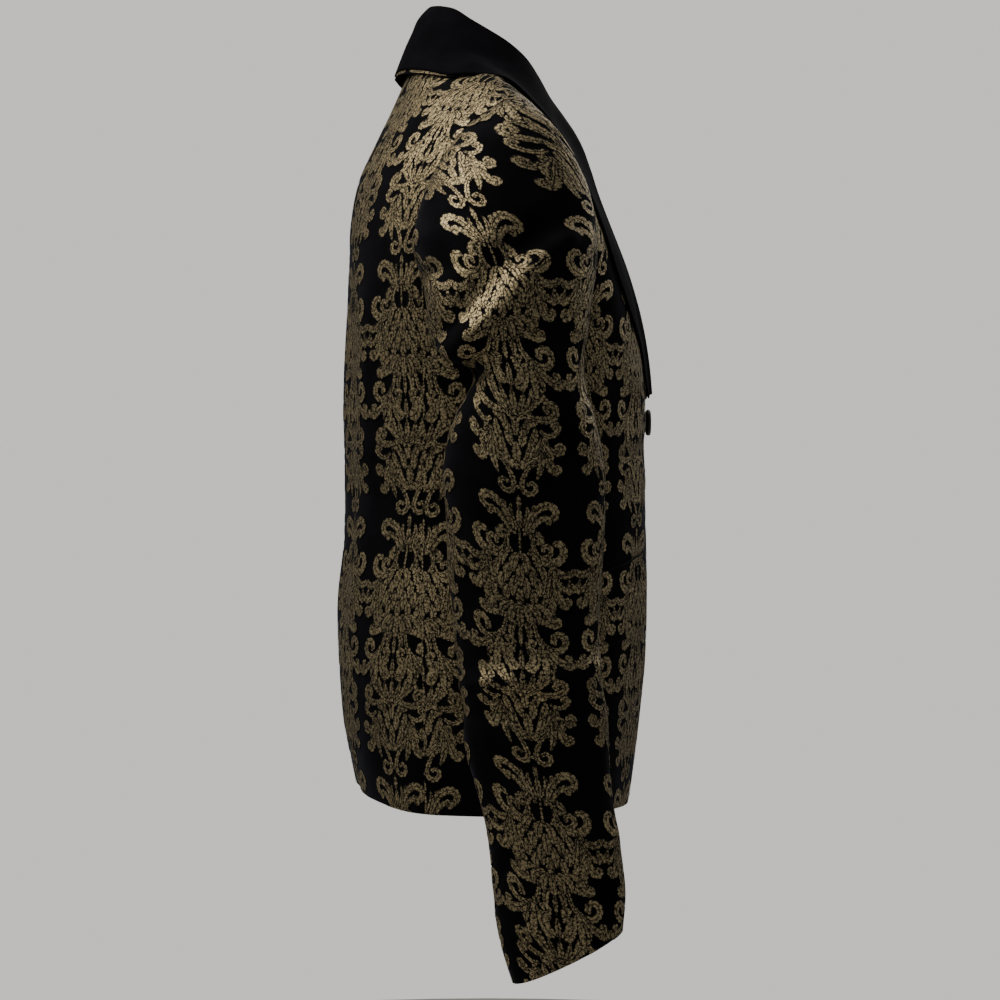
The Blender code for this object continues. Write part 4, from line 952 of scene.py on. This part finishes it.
def collar_points():
    """Rows along the collar; each goes from the stand's foot, over the fold, to the fall's edge."""
    knots = np.concatenate([[0], np.cumsum(np.linalg.norm(np.diff(COLLAR_STATIONS[:, 0:3], axis=0), axis=1))])
    shares = np.linspace(0.0, 1.0, COLLAR_ALONG)
    rows = []
    for station in smooth(knots / knots[-1], COLLAR_STATIONS, shares):
        fold, foot, middle, edge = station[:12].reshape(4, 3)
        rise = (fold - foot) / np.linalg.norm(fold - foot)
        out = (middle - foot) - rise * np.dot(middle - foot, rise)
        out /= np.linalg.norm(out)
        inner = fold - rise * station[12]
        crown, outer = inner + (out + rise) * station[12], inner + out * 2 * station[12]
        rows.append([foot, (foot + inner) / 2, inner, crown,
                     *along([crown, outer, middle, edge], 1, 3, np.linspace(0, 1, FALL_STEPS))])
    return np.array(rows)


def tree_of(*panels):
    """A search tree of grids of points, with their faces turned away from the torso."""
    corners, faces = [], []
    for points in panels:
        quads = grid_quads(*points.shape[:2])
        flat = points.reshape(-1, 3)
        facing = np.cross(flat[quads[:, 2]] - flat[quads[:, 0]], flat[quads[:, 3]] - flat[quads[:, 1]])
        if (facing * from_torso(flat[quads].mean(axis=1))).sum() < 0:
            quads = quads[:, ::-1]
        faces += (quads + len(corners)).tolist()
        corners += [Vector(corner) for corner in flat]
    return BVHTree.FromPolygons(corners, faces)


def lifted_clear(points, under, clearance):
    """Points moved away from the cloth below until all are the clearance above its face."""
    moved = points.reshape(-1, 3).copy()
    wanted = np.broadcast_to(clearance, points.shape[:2]).ravel()
    for _ in range(CLEARING_PASSES):
        for i, point in enumerate(moved):
            place, normal, _, _ = under.find_nearest(Vector(point), CLEARANCE_REACH)
            if place is not None:
                moved[i] += np.array(normal) * max(wanted[i] - (Vector(point) - place).dot(normal), 0)
    return moved.reshape(points.shape)


def refined(grid, rows, columns):
    """A grid drawn again with more points, smooth in both directions."""
    longer = smooth(np.arange(len(grid)), grid, np.linspace(0, len(grid) - 1, rows))
    across = longer.transpose(1, 0, 2)
    return smooth(np.arange(len(across)), across, np.linspace(0, len(across) - 1, columns)).transpose(1, 0, 2)


collar_velvet = velvet("collar_velvet", (0.0026, 0.0024, 0.0037), (0.0086, 0.0082, 0.0120), sheen=0.026,
                       tint=COOL_SHEEN, nap_size=34.0)
for side in SIDES:
    under = tree_of(*(panel[::SEARCH_EVERY, ::SEARCH_EVERY] for panel in (back, fronts[side])))
    coarse = collar_points()
    stand = coarse[:, :STAND_COLUMNS]
    rolled = stand[:, -1, 2] < ROLL_BELOW
    stand[rolled] = lifted_clear(stand[rolled], under, ROLL_CLEARANCE)
    behind_neck = np.arange(COLLAR_ALONG)[:, None] <= UNDER_COLLAR_ROWS
    clearance = np.where(behind_neck, COLLAR_CLEARANCE, LAPEL_CLEARANCE)
    coarse[:, STAND_COLUMNS:] = lifted_clear(coarse[:, STAND_COLUMNS:], under, clearance)
    fall = coarse[:UNDER_COLLAR_ROWS, -UNDER_COLLAR_COLUMNS:]
    behind = normals_of(coarse, from_torso(coarse))[:UNDER_COLLAR_ROWS, -UNDER_COLLAR_COLUMNS:]
    facing = fall - behind * (COLLAR_CLOTH + UNDER_COLLAR_GAP)
    onward = fall[:, -1] - fall[:, -2]
    lip = UNDER_COLLAR_LIP * eased(np.linspace(LIP_FADE, 0, UNDER_COLLAR_ROWS))[:, None]
    facing[:, -1] += onward / np.linalg.norm(onward, axis=1, keepdims=True) * lip
    facing[0, :, 0] = 0.0
    collar = refined(coarse, *COLLAR_FINE)
    piece = cloth_shell(f"shawl_collar_{side}_cloth", collar, side, from_torso(collar), COLLAR_CLOTH,
                        [collar_velvet])
    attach(piece, "root")
    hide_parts(f"shawl_collar_{side}")
    strip = refined(facing, *STRIP_FINE).transpose(1, 0, 2)
    piece = cloth_shell(f"under_collar_{side}_cloth", strip, side, from_torso(strip), UNDER_COLLAR_CLOTH,
                        [ground_velvet])
    inner_face = strip - normals_of(strip, from_torso(strip)) * UNDER_COLLAR_CLOTH
    flat_x, flat_y = run_across(strip)
    gold = damask_on(f"under_collar_{side}_cloth_damask", inner_face, flat_x, flat_y, -from_torso(strip),
                     side, *UNDER_COLLAR_DAMASK)
    shown_lip = strip[-LIP_ROWS:]
    lip_gold = damask_on(f"under_collar_{side}_lip_damask", shown_lip, flat_x[-LIP_ROWS:], flat_y[-LIP_ROWS:],
                         from_torso(shown_lip), side, *LIP_DAMASK)
    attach(piece, "root")
    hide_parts(f"under_collar_{side}")

# Pockets
# A slanting pocket in each front: a narrow welt along the slit and a flap sewn in under it, cut from the same
# cloth so that the damask runs on from the front.
POCKET_FORE, POCKET_AFT = (0.57, -400.0), (0.02, -421.0)
FLAP_DROP, WELT_HEIGHT, WELT_GAP, FLAP_CLOTH, LAID_GAP = 51.0, 7.0, 0.36, 1.6, 0.9
FLAP_COLUMNS, POCKET_TOP_ROW, POCKET_LEVELS = 36, 9, 240


def pocket_patch(side, top_offset, bottom_offset, rows):
    """A patch of the front between two lines that follow the pocket's slant, moved out from the cloth."""
    shares = np.linspace(POCKET_AFT[0], POCKET_FORE[0], FLAP_COLUMNS)
    levels = np.linspace(LEVELS[POCKET_TOP_ROW], LEVELS[-1], POCKET_LEVELS)
    sheet = overlapped(loft(front_row, 0, shares, levels), side)
    heights = np.linspace(POCKET_AFT[1], POCKET_FORE[1], FLAP_COLUMNS)
    patch = np.empty((rows, FLAP_COLUMNS, 3))
    for column in range(FLAP_COLUMNS):
        wanted = heights[column] - np.linspace(top_offset, bottom_offset, rows)
        for axis in range(3):
            patch[:, column, axis] = np.interp(-wanted, -sheet[:, column, 2], sheet[:, column, axis])
    return patch + normals_of(patch, from_torso(patch)) * (LAID_GAP + FLAP_CLOTH)


front_x, front_y = flat_cut(front, chest_row)
for side in SIDES:
    for label, top, bottom, rows, cut in (
            ("pocket_flap", 0, FLAP_DROP, 16, (0.14, 0.055, 0.0068)),
            ("pocket_welt", -WELT_HEIGHT - WELT_GAP, -WELT_GAP, 5, (0.14, 0.010, 0.0011))):
        name = f"{label}_{side}_cloth"
        patch = pocket_patch(side, top, bottom, rows)
        nearest = np.linalg.norm(fronts[side] - patch[0, 0], axis=2).argmin()
        across, down = run_across(patch)
        flat_x = across + front_x.flat[nearest]
        flat_y = down + front_y.flat[nearest] - patch[0, :, 2] + patch[0, 0, 2]
        outward = from_torso(patch)
        piece = cloth_shell(name, patch, side, outward, FLAP_CLOTH, [ground_velvet])
        gold = damask_on(f"{name}_damask", patch, flat_x, flat_y, outward, side, *FRONT_DAMASK)
        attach(piece, "root")
        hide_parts(f"{label}_{side}")

# Front button
# One black horn-like button with a raised rim and four holes, pushed through a stitched buttonhole at the
# waist. Two bars of black thread hold it, and close stitches bind the edge of the buttonhole beside it.
BUTTON_TURNS, FRONT_FACE_OVER = 72, 2.0
HOLE_RADIUS, HOLE_OUT, HOLE_DEPTH, HOLE_SOFT = 0.95, 1.575, 1.7, 0.25
# columns: radius, height over the back of the button
BUTTON_PROFILE = np.array([
    (0.05, 0), (8.5, 0), (10.2, 0.5), (11.0, 1.6), (11.0, 2.8), (10.6, 3.7), (9.8, 4.15), (9.0, 4.1),
    (8.3, 3.6), (7.6, 3.1), (6.6, 2.8), (5.4, 2.65), (4.6, 2.6), (4.0, 2.58), (3.6, 2.57), (3.2, 2.56),
    (2.8, 2.55), (2.5, 2.55), (2.2, 2.55), (1.9, 2.55), (1.6, 2.55), (1.3, 2.55), (1.0, 2.55),
    (0.6, 2.55), (0.05, 2.55),
], float)
horn, horn_tree, horn_shader = finish("button_horn", Specular_IOR_Level=0.5, Coat_Weight=0.25,
                                      Coat_Roughness=0.18)
streaks = node(horn_tree, "ShaderNodeTexNoise", Scale=160.0, Detail=4.0, Distortion=1.4,
               Vector=node(horn_tree, "ShaderNodeTexCoord").outputs["Object"])
horn_tone = two_tones(horn_tree, streaks.outputs["Fac"], (0.004, 0.004, 0.004), (0.022, 0.018, 0.014))
horn_tree.links.new(horn_tone, horn_shader.inputs["Base Color"])
polish = node(horn_tree, "ShaderNodeMapRange", Value=streaks.outputs["Fac"], To_Min=0.24, To_Max=0.46)
horn_tree.links.new(polish.outputs[0], horn_shader.inputs["Roughness"])
black_thread, thread_tree, thread_shader = finish("black_thread", Roughness=0.6, Sheen_Weight=0.2)
twist = node(thread_tree, "ShaderNodeTexWave", Scale=900.0, Distortion=2.0,
             Vector=node(thread_tree, "ShaderNodeTexCoord").outputs["Object"])
thread_tone = two_tones(thread_tree, twist.outputs["Fac"], (0.004, 0.004, 0.005), (0.028, 0.027, 0.03))
thread_tree.links.new(thread_tone, thread_shader.inputs["Base Color"])
button_low, button_high = (np.array(corner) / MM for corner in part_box("front_button"))
button_back = (button_low + button_high) / 2
button_back[1] = button_high[1]
turns = np.linspace(0, 2 * math.pi, BUTTON_TURNS, endpoint=False)
rings = np.stack([BUTTON_PROFILE[:, :1] * np.cos(turns), BUTTON_PROFILE[:, :1] * np.sin(turns),
                  np.broadcast_to(BUTTON_PROFILE[:, 1:], (len(BUTTON_PROFILE), BUTTON_TURNS))], axis=2)
holes = [(HOLE_OUT * a, HOLE_OUT * b) for a in (-1, 1) for b in (-1, 1)]
for hole in holes:
    away = np.linalg.norm(rings[..., :2] - hole, axis=2)
    sunk = HOLE_DEPTH * np.clip((HOLE_RADIUS + HOLE_SOFT - away) / (2 * HOLE_SOFT), 0, 1)
    rings[..., 2] -= np.where(rings[..., 2] > FRONT_FACE_OVER, sunk, 0)
corners = button_back + np.stack([rings[..., 0], -rings[..., 2], rings[..., 1]], axis=2).reshape(-1, 3)
index = np.arange(len(corners)).reshape(len(BUTTON_PROFILE), BUTTON_TURNS)
around = np.roll(index, -1, axis=1)
quads = np.stack([index[:-1], around[:-1], around[1:], index[1:]], axis=2).reshape(-1, 4).tolist()
button_mesh = bpy.data.meshes.new("front_button_horn")
button_mesh.from_pydata((corners * MM).tolist(), [], quads + [index[0][::-1].tolist(), index[-1].tolist()])
button_mesh.materials.append(horn)
button_mesh.shade_smooth()
button = bpy.data.objects.new("front_button_horn", button_mesh)
bpy.context.scene.collection.objects.link(button)
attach(button, "root")
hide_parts("front_button")


def thread_runs():
    """Geometry Nodes that turn lines into round threads."""
    tree = bpy.data.node_groups.new("thread_runs", "GeometryNodeTree")
    sockets = {}
    for label, kind in (("Lines", "NodeSocketGeometry"), ("Radius", "NodeSocketFloat"),
                        ("Thread", "NodeSocketMaterial")):
        sockets[label] = tree.interface.new_socket(label, in_out="INPUT", socket_type=kind).identifier
    tree.interface.new_socket("Geometry", in_out="OUTPUT", socket_type="NodeSocketGeometry")
    given = tree.nodes.new("NodeGroupInput").outputs
    paths = node(tree, "GeometryNodeMeshToCurve", Mesh=given["Lines"]).outputs[0]
    ring = node(tree, "GeometryNodeCurvePrimitiveCircle", Resolution=8, Radius=given["Radius"]).outputs[0]
    round_thread = node(tree, "GeometryNodeCurveToMesh", Curve=paths, Profile_Curve=ring, Fill_Caps=True)
    whole = node(tree, "GeometryNodeRealizeInstances", Geometry=round_thread.outputs[0]).outputs[0]
    sewn = node(tree, "GeometryNodeSetMaterial", Geometry=whole, Material=given["Thread"]).outputs[0]
    tree.links.new(sewn, tree.nodes.new("NodeGroupOutput").inputs[0])
    return tree, sockets


def sewn_threads(name, lines, radius):
    """Threads that follow lines of points, given in millimetres."""
    starts = np.cumsum([0] + [len(line) for line in lines])
    edges = [(first + k, first + k + 1) for first, line in zip(starts, lines) for k in range(len(line) - 1)]
    mesh = bpy.data.meshes.new(name)
    mesh.from_pydata((np.concatenate(lines) * MM).tolist(), edges, [])
    holder = bpy.data.objects.new(name, mesh)
    bpy.context.scene.collection.objects.link(holder)
    runs = holder.modifiers.new("threads", "NODES")
    runs.node_group = thread_tree_of
    runs[thread_inputs["Radius"]], runs[thread_inputs["Thread"]] = radius * MM, black_thread
    made = bpy.data.meshes.new_from_object(holder.evaluated_get(bpy.context.evaluated_depsgraph_get()))
    holder.modifiers.remove(runs)
    holder.data = made
    made.shade_smooth()
    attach(holder, "root")
    return holder


thread_tree_of, thread_inputs = thread_runs()
STRAND_POINTS, STRAND_APART, STRAND_FOOT, STRAND_RISE = 9, 0.42, 1.9, 1.1
BUTTON_THREAD, STITCH_THREAD = 0.24, 0.21
forward = -(STRAND_FOOT + STRAND_RISE * np.sin(np.linspace(0, math.pi, STRAND_POINTS)))
strands = []
for left, right in ((holes[0], holes[2]), (holes[1], holes[3])):
    across = np.linspace(left[0], right[0], STRAND_POINTS)
    for beside in (-STRAND_APART, 0.0, STRAND_APART):
        level = np.full(STRAND_POINTS, left[1] + beside)
        strands.append(button_back + np.stack([across, forward, level], axis=1))
sewn_threads("button_threads", strands, BUTTON_THREAD)
right_front = tree_of(fronts["right"])
BUTTONHOLE_FROM, BUTTONHOLE_TO, STITCH_REACH, STITCH_COUNT, IN_FRONT = 9.5, 21.5, 1.9, 19, -300.0
# Each stitch and each bar at the end: shares of the reach, and the lift off the cloth there
STITCH_ARCH = ((0.06, 0.4), (0.3, 0.95), (0.7, 0.95), (1.0, 0.4))
BAR_ARCH, BARS_BEYOND = ((-1.0, 0.4), (-0.6, 1.0), (0.6, 1.0), (1.0, 0.4)), (0.5, 0.95, 1.4)


def on_right_front(across, above, lift):
    """A place on the right front, level with the button or above it, lifted off the cloth."""
    start = Vector((across, IN_FRONT, button_back[2] + above))
    place, normal, _, _ = right_front.ray_cast(start, Vector((0, 1, 0)))
    return (np.array(place) + np.array(normal) * lift) * (-1, 1, 1)


def stitch(across, reach, arch):
    return np.array([on_right_front(across, reach * share, lift) for share, lift in arch])


stitches = [stitch(across, hand * STITCH_REACH, STITCH_ARCH)
            for across in np.linspace(BUTTONHOLE_FROM, BUTTONHOLE_TO, STITCH_COUNT) for hand in (-1, 1)]
stitches += [stitch(BUTTONHOLE_TO + beyond, STITCH_REACH, BAR_ARCH) for beyond in BARS_BEYOND]
sewn_threads("buttonhole_stitches", stitches, STITCH_THREAD)

# Stand for the picture
# A plain pale floor well below the cuffs, soft light from above and behind, and a camera at waist level.
FLOOR_Z, FLOOR_RADIUS, FLOOR_SIDES = -1.04, 1.05, 96
floor_mesh = bpy.data.meshes.new("floor")
floor_turns = np.linspace(0, 2 * math.pi, FLOOR_SIDES, endpoint=False)
rim = [(FLOOR_RADIUS * math.cos(turn), FLOOR_RADIUS * math.sin(turn), FLOOR_Z) for turn in floor_turns]
floor_mesh.from_pydata(rim, [], [list(range(FLOOR_SIDES))])
floor = bpy.data.objects.new("floor", floor_mesh)
bpy.context.scene.collection.objects.link(floor)
floor_paint, _, _ = finish("floor_paint", Base_Color=(0.62, 0.60, 0.57, 1), Roughness=0.8)
floor_mesh.materials.append(floor_paint)


def softbox(name, place, target, size, power, colour):
    light = bpy.data.lights.new(name, "AREA")
    light.shape, light.size, light.size_y = "RECTANGLE", size[0], size[1]
    light.energy, light.color = power, colour
    lamp = bpy.data.objects.new(name, light)
    bpy.context.scene.collection.objects.link(lamp)
    lamp.location = place
    lamp.rotation_euler = (Vector(target) - Vector(place)).to_track_quat("-Z", "Y").to_euler()
    return lamp


softbox("above_behind", (-0.12, 0.90, 0.80), (0, 0, -0.25), (0.8, 0.8), 8.0, (1.0, 0.95, 0.87))
softbox("overhead", (0.15, 0.05, 1.60), (0, 0, -0.2), (1.2, 1.2), 3.5, (1.0, 0.97, 0.93))
softbox("camera_side", (-1.3, 0.95, 0.9), (0, 0, -0.3), (1.2, 1.2), 2.3, (1.0, 0.97, 0.93))
softbox("far_side", (1.8, -1.0, 0.9), (0, 0, -0.3), (1.4, 1.4), 8.0, (1.0, 0.98, 0.95))
softbox("front_fill", (1.0, -2.1, 0.7), (0, 0, -0.3), (1.6, 1.6), 3.0, (1.0, 0.98, 0.95))
world = bpy.context.scene.world or bpy.data.worlds.new("room")
bpy.context.scene.world = world
world.use_nodes = True
room, shown_room = world.node_tree, world.node_tree.nodes["Background"]
shown_room.inputs["Color"].default_value = (0.80, 0.785, 0.75, 1)
shown_room.inputs["Strength"].default_value = 1.0
dim_room = node(room, "ShaderNodeBackground", Color=(0.70, 0.69, 0.665, 1), Strength=0.16)
seen = node(room, "ShaderNodeLightPath").outputs["Is Camera Ray"]
both_rooms = node(room, "ShaderNodeMixShader", i0=seen, i1=dim_room.outputs[0], i2=shown_room.outputs[0])
room.links.new(both_rooms.outputs[0], room.nodes["World Output"].inputs["Surface"])

# Level with the middle of the back, 1.8 m from the garment's middle, looking along +X
camera_data = bpy.data.cameras.new("camera")
camera_data.lens, camera_data.sensor_width = 77.15, 36.0
camera_data.shift_y = -0.05
camera = bpy.data.objects.new("camera", camera_data)
bpy.context.scene.collection.objects.link(camera)
camera.location = (-1.8, -0.0168, -0.311)
camera.rotation_euler = (math.pi / 2, 0, -math.pi / 2)
bpy.context.scene.camera = camera
